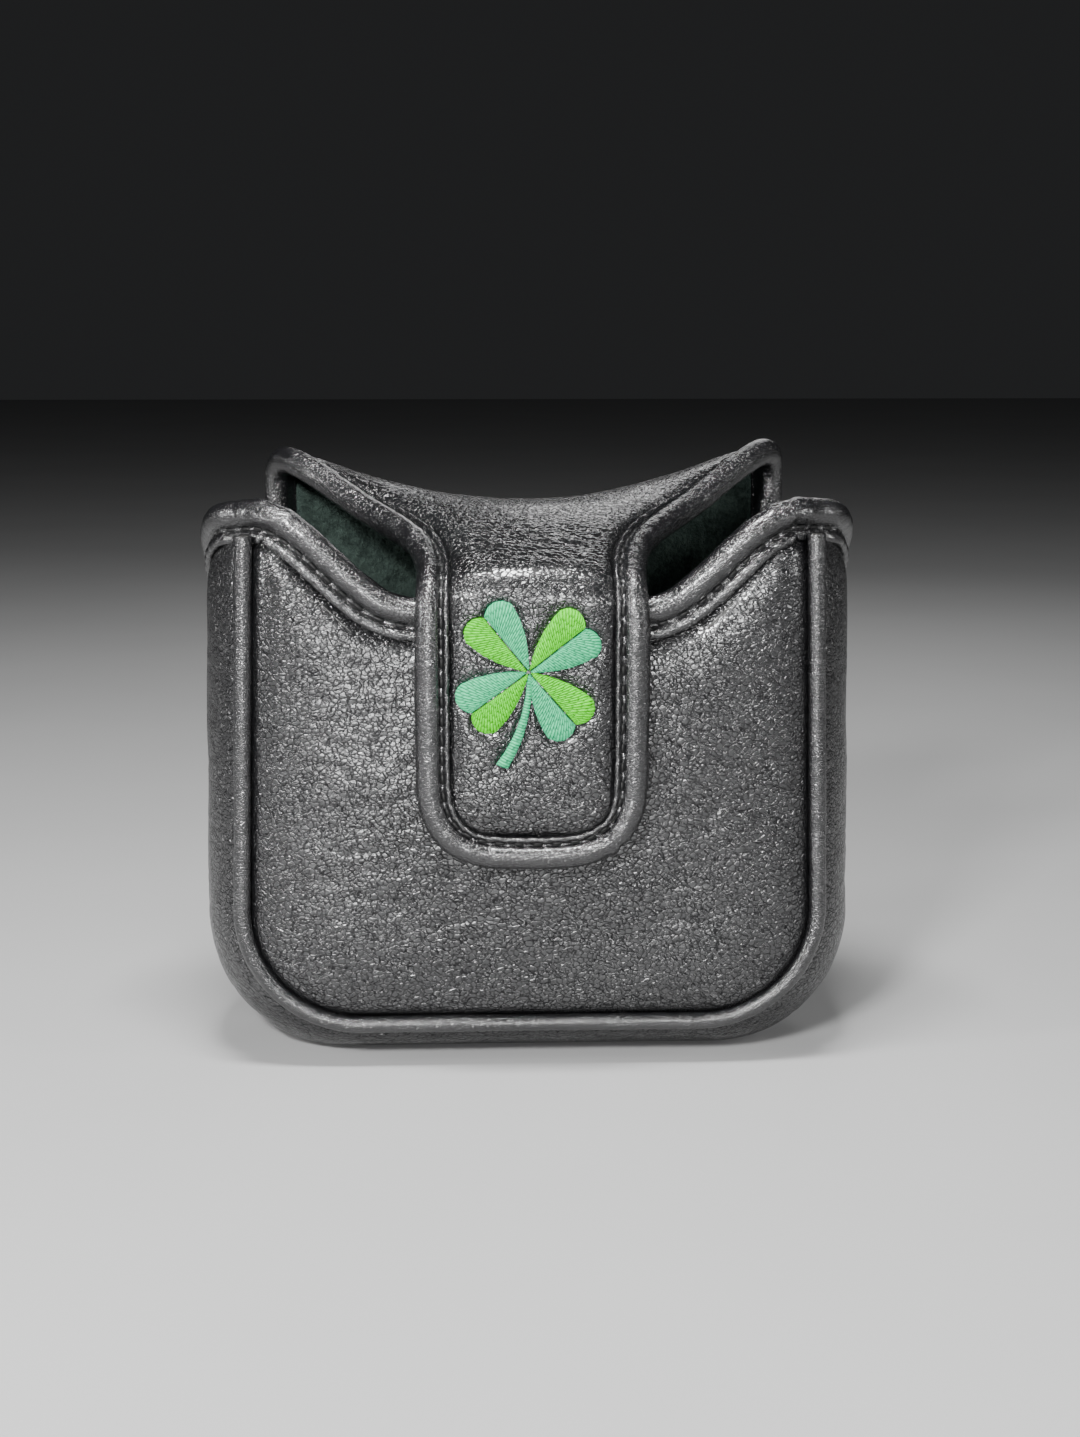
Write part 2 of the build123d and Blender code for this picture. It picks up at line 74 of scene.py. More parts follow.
# ---- measures, in millimetres ----
MM = 0.001
ROLL_R = 2.7              # radius of a binding's roll
ROLL_HOLLOW = 1.85        # radius of the hollow in it
HALF_WALL = 2.75
SEAM_Y = 22.0             # the piped seams
SEAM_LOW = 9.7
SEAM_CORNER = 22.0
REF_Z = 110.0
SEAM_HALF = 52.8          # half width of a seam at REF_Z
SEAM_FLARE = 2.5 / 90.0
FULL_HALF = 63.0          # half width in the middle of the gusset at REF_Z
FULL_FLARE = 2.0 / 90.0
FULL_LOW = -1.5
FACE_Y = -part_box("front_panel")[0][1] / MM    # outer face of the front panel
VALLEY_Y = 21.2           # a panel's leather dips to here beside its piping

MOUTH_DIP_Z = 90.5
MOUTH_RISE = 18.0
DIP_HALF = 22.0
EAR_HALF = 50.0
MOUTH_BACK_DROP = 24.5
MOUTH_SIDE_Y = 20.0

tongue_low, tongue_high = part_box("tongue_binding")
TONGUE_FACE_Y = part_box("tongue_panel")[0][1] / MM
TONGUE_HALF = tongue_high[0] / MM - ROLL_R
TONGUE_LOW = tongue_low[2] / MM + ROLL_R
TONGUE_CORNER = 11.5
BACK_FOLD_R = 8.0
BACK_FOLD_Z = 99.5
FRONT_FOLD_R = 9.0
FRONT_FOLD_Z = 92.5
FRONT_FOLD_TURN = math.radians(66.0)
FRONT_FOLD_Y = TONGUE_FACE_Y + FRONT_FOLD_R
CROWN_Z = 109.0
EAR_LIFT = (12.8, 14.2)   # left and right
SHOULDER_DROP = -11.0
FLAP_BACK_HALF = 52.6
ROOT_Z = 84.0             # the flap's binding starts here, on the back seam

PIPING_R = 1.7
PIPING_OUT = 1.0
FRONT_PIPING_TOP, BACK_PIPING_TOP = 104.6, 81.8
STITCH_PITCH = 3.7
STITCH_HEIGHT = 0.82
PATH_STEP = 0.55          # between the stations of a piping or binding
MOUTH_CHANNEL = 2.85
MOUTH_LIP = 5.4           # a binding's lip ends this far from the middle of its roll
MOUTH_EDGE = 4.3          # and the wall's leather is tucked in to here
FLAP_CHANNEL = 2.35
FLAP_LIP = 3.75
FLAP_EDGE = 3.0
FULL_DIP = 2.35           # a leather skin dips this deep beside a roll
WALL = 5.5                # leather, foam and lining together
LINING = 1.7
FOAM_EDGE = 8.5           # the foam ends this far from the middle of a roll
SHARP = math.radians(72)  # edges sharper than this aren't shaded smooth

# a piece rides on a body; each of these names two bodies and two points, but a piece given one stays where
# it is made, on no body
OVER_BACK = ("pouch", "flap_crown", (0.0, 0.027, 0.099), (0.0, 0.017, 0.108))
OVER_FRONT = ("flap_crown", "flap_tongue", (0.0, -0.0310, 0.0985), (0.0, -0.0340, 0.0935))


# ---- small tools ----
def smooth(t):
    t = np.clip(t, 0.0, 1.0)
    return t * t * (3 - 2 * t)


def lattice(x, y, z, seed):
    """Repeatable values from -1 to 1 at whole-number points."""
    n = (x * 73856093 + y * 19349663 + z * 83492791 + seed * 2654435) & 0x7FFFFFFF
    n = ((n ^ (n >> 13)) * 1274126177) & 0x7FFFFFFF
    n = ((n ^ (n >> 15)) * 739391) & 0x7FFFFFFF
    return (n >> 8 & 0xFFFF) / 32767.5 - 1.0


def noise(points, size, seed):
    """Smooth noise from -1 to 1 whose lumps are about size across; size may differ by axis."""
    p = np.asarray(points, float) / np.asarray(size, float)
    cell = np.floor(p).astype(np.int64)
    f = p - cell
    f = f * f * (3 - 2 * f)
    total = 0.0
    for corner in np.ndindex(2, 2, 2):
        x, y, z = (np.where(corner[k], f[..., k], 1 - f[..., k]) for k in range(3))
        total = total + x * y * z * lattice(*(cell[..., k] + corner[k] for k in range(3)), seed)
    return total


def lumps(points, seed, *layers):
    """Layers of noise, each (size, height), with a seed of its own."""
    return sum(noise(points, size, seed + k) * height for k, (size, height) in enumerate(layers))


def creases(points, size, seed):
    """Narrow valleys, 0 on the flats and down to -1 in a crease."""
    ridge = 1 - np.abs(noise(points, size, seed)) * 6
    return -np.clip(ridge, 0.0, 1.0)


def unit(v):
    return v / np.maximum(np.linalg.norm(v, axis=-1, keepdims=True), 1e-9)


def run_along(path):
    """The length along a path at each of its points."""
    return np.concatenate([[0], np.cumsum(np.linalg.norm(np.diff(path, axis=0), axis=1))])


def read_at(at, run, values):
    """A path's columns of values at some lengths along it."""
    return np.stack([np.interp(at, run, column) for column in np.transpose(values)], axis=1)


def cubic(s, h, start, end, start_slope, end_slope):
    """The cubic from start to end at share s of a step h."""
    return (
        (2 * s**3 - 3 * s**2 + 1) * start
        + (s**3 - 2 * s**2 + s) * h * start_slope
        + (3 * s**2 - 2 * s**3) * end
        + (s**3 - s**2) * h * end_slope
    )


def resample(knots):
    """A smooth curve through knots, cut into even steps: cubic between chord-length knots."""
    knots = np.asarray(knots, float)
    chord = run_along(knots)
    slopes = np.gradient(knots, chord, axis=0)
    fine = np.linspace(0, chord[-1], int(chord[-1] / PATH_STEP * 4))
    i = np.clip(np.searchsorted(chord, fine) - 1, 0, len(chord) - 2)
    h = (chord[i + 1] - chord[i])[:, None]
    s = (fine - chord[i])[:, None] / h
    curve = cubic(s, h, knots[i], knots[i + 1], slopes[i], slopes[i + 1])
    run = run_along(curve)
    return read_at(np.linspace(0, run[-1], int(run[-1] / PATH_STEP) + 1), run, curve)


def grid_normals(grid):
    """Unit normals of a grid of points, along rows x columns."""
    return unit(np.cross(np.gradient(grid, axis=1), np.gradient(grid, axis=0)))


def facing(normal, *grids):
    """The grids, with their columns turned round if the first one faces away from normal."""
    away = float((grid_normals(grids[0]) * normal).sum(axis=-1).mean()) < 0
    return [grid[:, ::-1] if away else grid for grid in grids]


# ---- making meshes ----
def piece(name, shape, material, on, stands_for=(), tones_with_painted_shade=None):
    """A smooth mesh object, parented to its body when on names one; otherwise it stays where it is made. Its
    shape is points in millimetres, quads, and triangles if it has any."""
    points, quads = shape[0].reshape(-1, 3), shape[1]
    triangles = shape[2] if len(shape) > 2 else np.empty((0, 3), int)
    starts = np.concatenate([np.arange(0, quads.size, 4), quads.size + np.arange(0, triangles.size, 3)])
    corners = np.concatenate([quads.ravel(), triangles.ravel()])
    mesh = bpy.data.meshes.new(name)
    mesh.vertices.add(len(points))
    mesh.vertices.foreach_set("co", (points * MM).astype(np.float32).ravel())
    mesh.loops.add(len(corners))
    mesh.loops.foreach_set("vertex_index", corners.astype(np.int32))
    mesh.polygons.add(len(starts))
    mesh.polygons.foreach_set("loop_start", starts.astype(np.int32))
    mesh.polygons.foreach_set("use_smooth", np.full(len(starts), True))
    # a per-point attribute of painted shade and random tone, read by the thread materials
    if tones_with_painted_shade is not None:
        mesh.attributes.new("tone_with_painted_shade", "FLOAT", "POINT").data.foreach_set("value", tones_with_painted_shade.astype(np.float32))
    mesh.update(calc_edges=True)
    mesh.validate()
    mesh.set_sharp_from_angle(angle=SHARP)
    mesh.materials.append(material)
    made = bpy.data.objects.new(name, mesh)
    bpy.context.scene.collection.objects.link(made)
    if stands_for:
        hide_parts(*stands_for)
    if isinstance(on, str):
        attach(made, on)
    else:
        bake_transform(made)
    return made


def grid_faces(rows, columns, wrap_columns=False, first=0):
    """Quads of a grid whose point (r, c) is first + r * columns + c."""
    r, c = np.indices((rows - 1, columns if wrap_columns else columns - 1))
    r2, c2 = r + 1, (c + 1) % columns
    quads = np.stack([r * columns + c, r * columns + c2, r2 * columns + c2, r2 * columns + c], axis=-1)
    return first + quads.reshape(-1, 4)


def shell(outer, inner):
    """A closed skin from two grids of one size: outer, inner and the rim between them."""
    rows, columns = outer.shape[:2]
    count = rows * columns
    ring = np.concatenate([
        np.arange(columns),
        np.arange(1, rows) * columns + columns - 1,
        (rows - 1) * columns + np.arange(columns - 2, -1, -1),
        np.arange(rows - 2, 0, -1) * columns,
    ])
    after = np.roll(ring, -1)
    rim = np.stack([after, ring, ring + count, after + count], axis=1)
    front, back = grid_faces(rows, columns), grid_faces(rows, columns, first=count)[:, ::-1]
    points = np.concatenate([outer.reshape(-1, 3), inner.reshape(-1, 3)])
    return points, np.concatenate([front, back, rim])


def ring_cap(outer_count, around):
    """Triangles that close a ring-like section, whose first outer_count points are its outside."""
    outside = np.arange(outer_count)
    inside = np.arange(around - 1, outer_count - 1, -1)
    outer_steps, inner_steps = len(outside) - 1, len(inside) - 1
    triangles, i, j = [], 0, 0
    while i < outer_steps or j < inner_steps:
        ahead_i = (i + 1) / outer_steps if i < outer_steps else 2.0
        ahead_j = (j + 1) / inner_steps if j < inner_steps else 2.0
        if ahead_i <= ahead_j:
            triangles.append((outside[i], outside[i + 1], inside[j]))
            i += 1
        else:
            triangles.append((outside[i], inside[j + 1], inside[j]))
            j += 1
    return np.array(triangles)


def sweep(path, side, down, profile, outer_count=None):
    """A closed profile at every station (stations x points x 2) along a path, with end caps."""
    stations, around = profile.shape[:2]
    ring = path[:, None] + side[:, None] * profile[..., 0:1] + down[:, None] * profile[..., 1:2]
    faces = grid_faces(stations, around, wrap_columns=True)
    last = (stations - 1) * around
    if outer_count is not None:
        cap = ring_cap(outer_count, around)
        return ring.reshape(-1, 3), faces, np.concatenate([cap[:, ::-1], cap + last])
    points = np.concatenate([ring.reshape(-1, 3), ring[[0, -1]].mean(axis=1)])
    k = np.arange(around)
    after = (k + 1) % around
    start = np.stack([np.full(around, stations * around), k, after], axis=1)
    end = np.stack([np.full(around, stations * around + 1), last + after, last + k], axis=1)
    return points, faces, np.concatenate([start, end])


def round_profile(radius, angle, flip=1):
    return np.stack([np.cos(angle) * radius, np.sin(angle) * radius * flip], axis=-1)


def full_turn(count):
    return np.linspace(0, 2 * np.pi, count, endpoint=False)


# ---- the cover's surfaces ----
def seam_half(z):
    return SEAM_HALF + SEAM_FLARE * (REF_Z - z)


def inside_corner(side, low, corner):
    """How far inside a rounded corner a point lies, from its distances to both edges."""
    corner_x, corner_z = corner - side, corner - low
    in_corner = (corner_x > 0) & (corner_z > 0)
    return np.where(in_corner, corner - np.hypot(corner_x, corner_z), np.minimum(side, low))


def seam_distance(x, z):
    """How far inside the U of a seam a point of a panel lies."""
    return inside_corner(seam_half(z) - np.abs(x), z - SEAM_LOW, SEAM_CORNER)


def bottom_half(z, inset=0.0):
    """Half width of a piped panel at a height, drawn in by inset all round."""
    corner = SEAM_CORNER - inset
    rise = np.clip(corner - (z - SEAM_LOW - inset), 0, corner)
    return seam_half(z) - inset - corner + np.sqrt(corner**2 - rise**2)


def pillow(d):
    """Share of a panel's crown at a distance from its seam: steep beside the piping, then soft."""
    d = np.maximum(d, 0.0)
    return 0.5 * (1 - np.exp(-d / 1.8)) + 0.5 * (1 - np.exp(-d / 9.0))


def mouth_front(x):
    shift = np.where(x < 0, 1.2, 0.0)
    return MOUTH_DIP_Z + MOUTH_RISE * smooth((np.abs(x) - shift - DIP_HALF) / (EAR_HALF - DIP_HALF))


def mouth_side(y):
    t = np.clip((y + MOUTH_SIDE_Y) / (2 * MOUTH_SIDE_Y), 0.0, 1.0)
    return MOUTH_DIP_Z + MOUTH_RISE - MOUTH_BACK_DROP * t**1.5


def slope_of(edge, at):
    return edge(at + 0.5) - edge(at - 0.5)


def edge_dip(u, lip, depth, tail=2.2):
    """How far a wall's face lies below its full swell, at a distance u from the middle of a roll
    whose lip ends at lip; a negative depth makes it stand above."""
    past = np.maximum(u - lip, 0.0)
    return np.sign(depth) * (abs(depth) * np.exp(-past / tail) + 0.12 * np.clip(lip - u, 0.0, 2.0))


def settle(z):
    """Keeps the underside flat on the floor, with a soft turn."""
    turn = 0.5
    return turn * np.logaddexp(0.0, z / turn)


# ---- the flap: back panel, back fold, crown, front fold and tongue ----
V_BACK = BACK_FOLD_Z
V_FOLD = V_BACK + math.pi / 2 * BACK_FOLD_R
V_MID = V_FOLD + 24.0     # the leather is cut here, in the middle of the crown
V_CROWN = V_FOLD + 49.0
V_FRONT = V_CROWN + FRONT_FOLD_TURN * FRONT_FOLD_R
V_END = V_FRONT + FRONT_FOLD_Z - TONGUE_LOW
CROWN_STATIONS = (9.0, 1.0, -7.0, -15.0)


def lift(x, y):
    """How much higher the flap is at x than in its middle: up at the ears, down at the shoulders."""
    ear = EAR_LIFT[0] + (EAR_LIFT[1] - EAR_LIFT[0]) * smooth((x + 30.0) / 60.0)
    return (x / EAR_HALF) ** 2 * (SHOULDER_DROP + (ear - SHOULDER_DROP) * smooth((y + 24.0) / 39.0))


def crown_middle(y):
    back = 0.0038 * np.maximum(y, 0.0) ** 2
    front = 0.0089 * np.maximum(-y, 0.0) ** 2 + 0.0000475 * np.maximum(-y, 0.0) ** 3
    return CROWN_Z - back - front


def back_depth(x, z):
    """Depth of the back's outer face: a piped pillow low down, a plain soft edge beside the flap."""
    free = smooth((z - 80.0) / 8.0)
    d = seam_distance(x, z)
    soft = 1 - np.exp(-(np.maximum(d, 0.0) + 1.2) / 6.5)
    return VALLEY_Y + (FACE_Y - VALLEY_Y) * ((1 - free) * pillow(d) + free * soft)


def strip(x, v):
    """The outer face of back panel and flap, full swell: v runs up the back, over, and down the tongue."""
    x, v = np.broadcast_arrays(np.asarray(x, float), np.asarray(v, float))
    ear = lift(x, np.full_like(x, SEAM_Y))
    fold_z = BACK_FOLD_Z + ear
    centre_y = back_depth(x, np.full_like(x, 95.0)) - BACK_FOLD_R
    on_back, on_front = v <= V_BACK, v > V_CROWN
    on_fold, on_crown = ~on_back & (v <= V_FOLD), (v > V_FOLD) & ~on_front

    rise = v + ear * smooth((v - ROOT_Z) / (V_BACK - ROOT_Z))
    turn = np.clip((v - V_BACK) / (V_FOLD - V_BACK), 0, 1) * math.pi / 2
    top = math.pi - FRONT_FOLD_TURN
    droop = lift(x, np.full_like(x, FRONT_FOLD_Y)) * smooth((TONGUE_HALF + 14 - np.abs(x)) / 14)
    end_y = FRONT_FOLD_Y + FRONT_FOLD_R * math.cos(top)
    end_z = FRONT_FOLD_Z + droop + FRONT_FOLD_R * math.sin(top)
    share = np.clip((v - V_FOLD) / (V_CROWN - V_FOLD), 0, 1)
    over_y = centre_y + (end_y - centre_y) * share
    knots_y = [centre_y, *(np.full_like(x, s) for s in CROWN_STATIONS), np.full_like(x, end_y)]
    knots_z = [fold_z + BACK_FOLD_R, *(crown_middle(s) + lift(x, s) for s in CROWN_STATIONS), end_z]
    slopes = [np.zeros_like(x)]
    for i in range(1, 5):
        slopes.append((knots_z[i + 1] - knots_z[i - 1]) / (knots_y[i + 1] - knots_y[i - 1]))
    slopes.append(np.full_like(x, math.tan(math.pi / 2 - FRONT_FOLD_TURN)))
    over_z = np.zeros_like(x)
    for i in range(5):
        h = knots_y[i + 1] - knots_y[i]
        s = (over_y - knots_y[i]) / h
        value = cubic(s, h, knots_z[i], knots_z[i + 1], slopes[i], slopes[i + 1])
        over_z = np.where((s >= 0) & (s <= 1.0001), value, over_z)

    bend = np.clip((v - V_CROWN) / (V_FRONT - V_CROWN), 0, 1) * FRONT_FOLD_TURN + top
    level = smooth((v - V_FRONT) / 12.0)
    down = np.maximum(v - V_FRONT, 0.0)
    front_z = FRONT_FOLD_Z + droop * (1 - level) + FRONT_FOLD_R * np.sin(bend) - down
    stretches = [on_back, on_fold, on_crown, on_front]
    y = np.select(stretches, [
        back_depth(x, np.minimum(v, 95.0)), centre_y + BACK_FOLD_R * np.cos(turn), over_y,
        FRONT_FOLD_Y + FRONT_FOLD_R * np.cos(bend),
    ])
    z = np.select(stretches, [rise, fold_z + BACK_FOLD_R * np.sin(turn), over_z, front_z])
    return np.stack([x, y, z], axis=-1)


def strip_normal(x, v):
    step = 0.4
    dx = strip(x + step, v) - strip(x - step, v)
    dv = strip(x, v + step) - strip(x, v - step)
    return unit(np.cross(dv, dx))


def flap_half(v):
    """Half width of the back and flap at v: to the seam low down, then to the middle of the binding roll."""
    v = np.asarray(v, float)
    free = ROOT_Z - 6
    edge = seam_half(free) + (FLAP_BACK_HALF - seam_half(free)) * smooth((v - free) / 12)
    turned = np.clip((v - V_BACK) / (V_FOLD - V_BACK), 0, 1)
    y = 15.4 - 43.5 * np.clip((v - V_FOLD) / (V_CROWN - V_FOLD), 0, 1)
    plan = TONGUE_HALF + (FLAP_BACK_HALF - TONGUE_HALF) * smooth((y + 26.0) / 52.0)
    return np.select(
        [v < free, v <= V_BACK, v <= V_FOLD, v <= V_CROWN],
        [bottom_half(v), edge, FLAP_BACK_HALF - 3.6 * turned**1.35, plan],
        tongue_end(v, 0.0),
    )


def tongue_end(v, inside):
    """Half width of the tongue with its rounded corners, drawn in by inside."""
    corner = TONGUE_CORNER - inside
    left = np.clip(corner - (V_END - inside - v), 0.0, corner)
    return TONGUE_HALF - inside - corner + np.sqrt(corner**2 - left**2)


def tongue_distance(x, v):
    """How far inside the middle of the binding roll a point of the flap lies."""
    slope = np.where(v > V_CROWN, 0.0, slope_of(flap_half, v))
    half = np.where(v > V_CROWN, TONGUE_HALF, flap_half(v))
    return inside_corner((half - np.abs(x)) / np.sqrt(1 + slope**2), V_END - v, TONGUE_CORNER)


# ---- materials ----
class Surface:
    """A principled material in the object's own coordinates, with short calls for its nodes."""

    def __init__(self, name):
        self.made = bpy.data.materials.new(name)
        self.made.use_nodes = True
        self.shader = self.made.node_tree.nodes["Principled BSDF"]
        self.place = self.node("TexCoord", {}, "Object")

    def feed(self, node, inputs):
        """Links sockets to a node's inputs, and sets plain values."""
        for key, value in inputs.items():
            if isinstance(value, bpy.types.NodeSocket):
                self.made.node_tree.links.new(value, node.inputs[key])
            else:
                node.inputs[key].default_value = value

    def node(self, kind, inputs, output=0, **settings):
        """The output of a new node."""
        node = self.made.node_tree.nodes.new("ShaderNode" + kind)
        for key, value in settings.items():
            setattr(node, key, value)
        self.feed(node, inputs)
        return node.outputs[output]

    def stretched(self, scale):
        """Coordinates scaled by axis."""
        return self.node("Mapping", {"Scale": scale, "Vector": self.place}, "Vector")

    def noise(self, scale, detail=3.0, rough=0.55, place=None):
        place = self.place if place is None else place
        inputs = {"Scale": scale, "Detail": detail, "Roughness": rough, "Vector": place}
        return self.node("TexNoise", inputs, "Fac")

    def cells(self, scale, feature="F1", place=None):
        place = self.place if place is None else place
        return self.node("TexVoronoi", {"Scale": scale, "Vector": place}, "Distance", feature=feature)

    def sum_of(self, *terms, start=0.0):
        """The weighted sum of some sockets."""
        for socket, weight in terms:
            start = self.node("Math", {0: socket, 1: weight, 2: start}, operation="MULTIPLY_ADD")
        return start

    def spread(self, socket, low, high, out_low=0.0, out_high=1.0):
        inputs = {"Value": socket, "From Min": low, "From Max": high, "To Min": out_low, "To Max": out_high}
        return self.node("MapRange", inputs, "Result")

    def finished(self, share, dark, light, height, depth, values):
        """The material: a share between two colours, a bump from height, and the shader's values."""
        colours = {"A": (*dark, 1.0), "B": (*light, 1.0), "Factor": share}
        self.feed(self.shader, {"Base Color": self.node("Mix", colours, "Result", data_type="RGBA")})
        if height is not None:
            bump = self.node("Bump", {"Distance": depth, "Strength": 1.0, "Height": height}, "Normal")
            self.feed(self.shader, {"Normal": bump})
        self.feed(self.shader, values)
        return self.made


def leather_material(name, grain, depth, rough, painted_crease_shade_low):
    """Soft black leather with a pebbled grain, grain cells per metre. Its specular level is turned down in
    the grain's creases and at the pebbles' edges as painted shade; the last argument is the lowest level
    there.
    """
    m = Surface(name)
    warp = m.node("CombineXYZ", dict.fromkeys("XYZ", m.noise(grain * 0.55, 2.0)))
    moved = m.node("VectorMath", {0: warp, 1: (1.2 / grain,) * 3, 2: m.place}, operation="MULTIPLY_ADD")
    wide = m.node("Mapping", {"Scale": (0.78, 0.78, 1.0), "Vector": moved}, "Vector")
    pebble = m.spread(m.cells(grain, "DISTANCE_TO_EDGE", wide), 0.0, 0.13)
    dome = m.cells(grain, place=wide)
    fine = m.noise(grain * 3.4, 4.0, 0.65)
    crinkle = m.noise(grain * 0.34, 3.0, 0.6, m.stretched((0.55, 1.0, 1.0)))
    valley = m.node("Math", {0: m.sum_of((crinkle, 1.0), start=-0.5)}, operation="ABSOLUTE")
    crease = m.spread(valley, 0.0, 0.035)
    worn = m.noise(grain * 0.02)
    polish = m.spread(m.sum_of((fine, 0.5), (worn, 0.5)), 0.3, 0.7, rough - 0.05, rough + 0.07)
    # painted shade: the specular level drops in the creases and at the pebbles' edges, where the grain would
    # shade itself
    crease_shaded_specular = m.spread(m.sum_of((pebble, 0.65), (crease, 0.35)), 0.25, 1.0, painted_crease_shade_low, 1.0)
    return m.finished(
        m.sum_of((pebble, 0.45), (worn, 0.5), (fine, 0.25)),
        (0.0012, 0.0012, 0.0014), (0.0050, 0.0050, 0.0056),
        m.sum_of((pebble, 0.46), (dome, -0.26), (fine, 0.07), (crinkle, 1.30), (crease, 0.40)), depth,
        {"Roughness": polish, "Specular IOR Level": crease_shaded_specular, "Coat Weight": 0.12, "Coat Roughness": 0.30},
    )


def plush_material():
    m = Surface("plush")
    tuft, drift = m.noise(900, 4.0, 0.7), m.noise(120)
    return m.finished(
        m.spread(m.sum_of((tuft, 0.7), (drift, 0.4)), 0.38, 0.72),
        (0.0018, 0.0042, 0.0036), (0.034, 0.050, 0.042), m.sum_of((tuft, 1.0), (drift, 0.5)), 0.0016,
        {"Roughness": 0.95, "Specular IOR Level": 0.12, "Sheen Weight": 0.3, "Sheen Roughness": 0.45,
         "Sheen Tint": (0.20, 0.30, 0.27, 1.0)},
    )


def thread_material(name, dark, light, sheen):
    """Lustrous embroidery or sewing thread; on embroidery a per-point attribute paints shade into the gaps
    between rows and the needle holes, towards a colour a quarter as bright as dark.
    """
    m = Surface(name)
    fibre = m.noise(2600, 3.0, 0.7, m.stretched((1.0, 1.0, 1.6)))
    # painted shade from the per-point attribute: low in the gaps between thread rows and at needle holes
    painted_shade_attribute = m.node("Attribute", {}, "Fac", attribute_name="tone_with_painted_shade")
    return m.finished(
        m.sum_of((fibre, 0.45), (m.noise(420, 2.0), 0.25), (painted_shade_attribute, 0.62)),
        [v * 0.25 for v in dark], light, fibre, 0.00006,
        {"Roughness": 0.45, "Specular IOR Level": 0.22, "Sheen Weight": sheen, "Sheen Roughness": 0.3},
    )


def foam_material():
    m = Surface("foam")
    pores, clumps = m.cells(1800), m.noise(500)
    return m.finished(
        m.sum_of((pores, 0.8), (clumps, 0.5)), (0.05, 0.05, 0.048), (0.12, 0.12, 0.115),
        m.sum_of((pores, 1.0), (clumps, 0.4)), 0.0003, {"Roughness": 0.95},
    )


def magnet_material():
    m = Surface("magnet")
    scuffs = m.noise(900, 4.0, 0.7, m.stretched((1.0, 1.0, 4.0)))
    return m.finished(
        scuffs, (0.42, 0.42, 0.43), (0.62, 0.62, 0.63), scuffs, 0.00003,
        {"Roughness": m.spread(scuffs, 0.2, 0.8, 0.18, 0.42), "Metallic": 1.0},
    )


def cord_material():
    m = Surface("filler_cord")
    fibre = m.noise(2500, 4.0, 0.7)
    return m.finished(fibre, (0.25, 0.24, 0.22), (0.45, 0.43, 0.40), fibre, 0.0001, {"Roughness": 0.85})


def floor_material():
    m = Surface("pale_floor")
    return m.finished(m.noise(8), (0.30, 0.30, 0.30), (0.34, 0.34, 0.34), None, None, {"Roughness": 0.7})


# the last value of each is the lowest specular level of the painted crease shade
panel_leather = leather_material("panel_leather", 1150, 0.00020, 0.23, 0.10)
binding_leather = leather_material("binding_leather", 1700, 0.00008, 0.22, 0.60)
piping_leather = leather_material("piping_leather", 1800, 0.00008, 0.21, 0.60)
plush = plush_material()
lime = thread_material("lime_thread", (0.016, 0.19, 0.0005), (0.055, 0.46, 0.001), 0.0)
mint = thread_material("mint_thread", (0.006, 0.16, 0.065), (0.025, 0.38, 0.17), 0.0)
black_thread = thread_material("sewing_thread", (0.004, 0.004, 0.004), (0.012, 0.012, 0.012), 0.05)
foam = foam_material()
magnet = magnet_material()
cord_fibre = cord_material()


# ---- walls: leather, foam and lining ----
def even_to_edges(count, edge=0.2):
    """Values from -1 to 1, closer together towards both ends."""
    t = np.linspace(-1, 1, count)
    return t * (1 + edge) - edge * t**3


def mouth_reach(x, z):
    """Distance down the front wall from the middle of the mouth's roll."""
    return (mouth_front(x) - z) / np.sqrt(1 + slope_of(mouth_front, x) ** 2)


def wall_wrinkles(p):
    """Shallow creases and lumps of soft leather over foam."""
    broad = noise(p, (24, 24, 18), 3) * 0.30
    mid = noise(p, (9, 9, 6.5), 5) * 0.13
    lines = creases(p + 1.5 * noise(p, 7.0, 9)[..., None], (10.0, 10.0, 3.0), 7) * 0.13
    return broad + mid + lines + noise(p, (2.6, 2.6, 1.7), 11) * 0.045


def moved(grid, height):
    """The grid moved along its normals."""
    return grid + grid_normals(grid) * np.asarray(height)[..., None]


def leather(name, grid, normal, calm, wrinkles, thickness, on, stands_for, press=None):
    """A leather skin under a grid, wrinkled, and pressed in. Its thickness is (at its edges, what calm
    adds inside them)."""
    press = np.zeros(calm.shape) if press is None else press
    grid, calm, wrinkles, press = facing(normal, grid, calm, wrinkles, press)
    outer = moved(moved(grid, wall_wrinkles(grid) * wrinkles), -press)
    outer[..., 2] = np.maximum(outer[..., 2], 0.0)
    inner = moved(outer, -(thickness[0] + thickness[1] * calm))
    piece(name, shell(outer, inner), panel_leather, on, stands_for)
    return outer


def lining(name, face, back, inward, calm, seed, on, stands_for):
    """A plush lining from its face and its back; inward points off the plush."""
    face, back, calm = facing(inward, face, back, calm)
    puffs = lumps(face, seed, ((15, 15, 12), 0.75), ((6, 6, 5), 0.35))
    tufts = lumps(face, seed + 2, ((2.3, 2.3, 2.3), 0.38), ((1.3, 1.3, 1.3), 0.20))
    shape = shell(moved(face, calm * (puffs + tufts)), back)
    made = piece(name, shape, plush, on, stands_for)


def foam_pad(name, outer, inner, normal, push, seed, on, stands_for):
    """The foam between a leather skin and its lining."""
    outer = outer + push * (noise(outer, (1.4, 1.4, 1.4), seed) * 0.05)[..., None]
    piece(name, shell(*facing(normal, outer, inner)), foam, on, stands_for)


# ---- the front wall ----
def front_surface(x, z, inset=0.0, dip=FULL_DIP, tail=2.2):
    """Depth of the front wall's face, or of a layer inset from it, dipped beside the mouth's roll."""
    y = -(VALLEY_Y - inset + (FACE_Y - VALLEY_Y) * pillow(seam_distance(x, z) - inset))
    return y + edge_dip(mouth_reach(x, z), MOUTH_LIP, dip, tail)


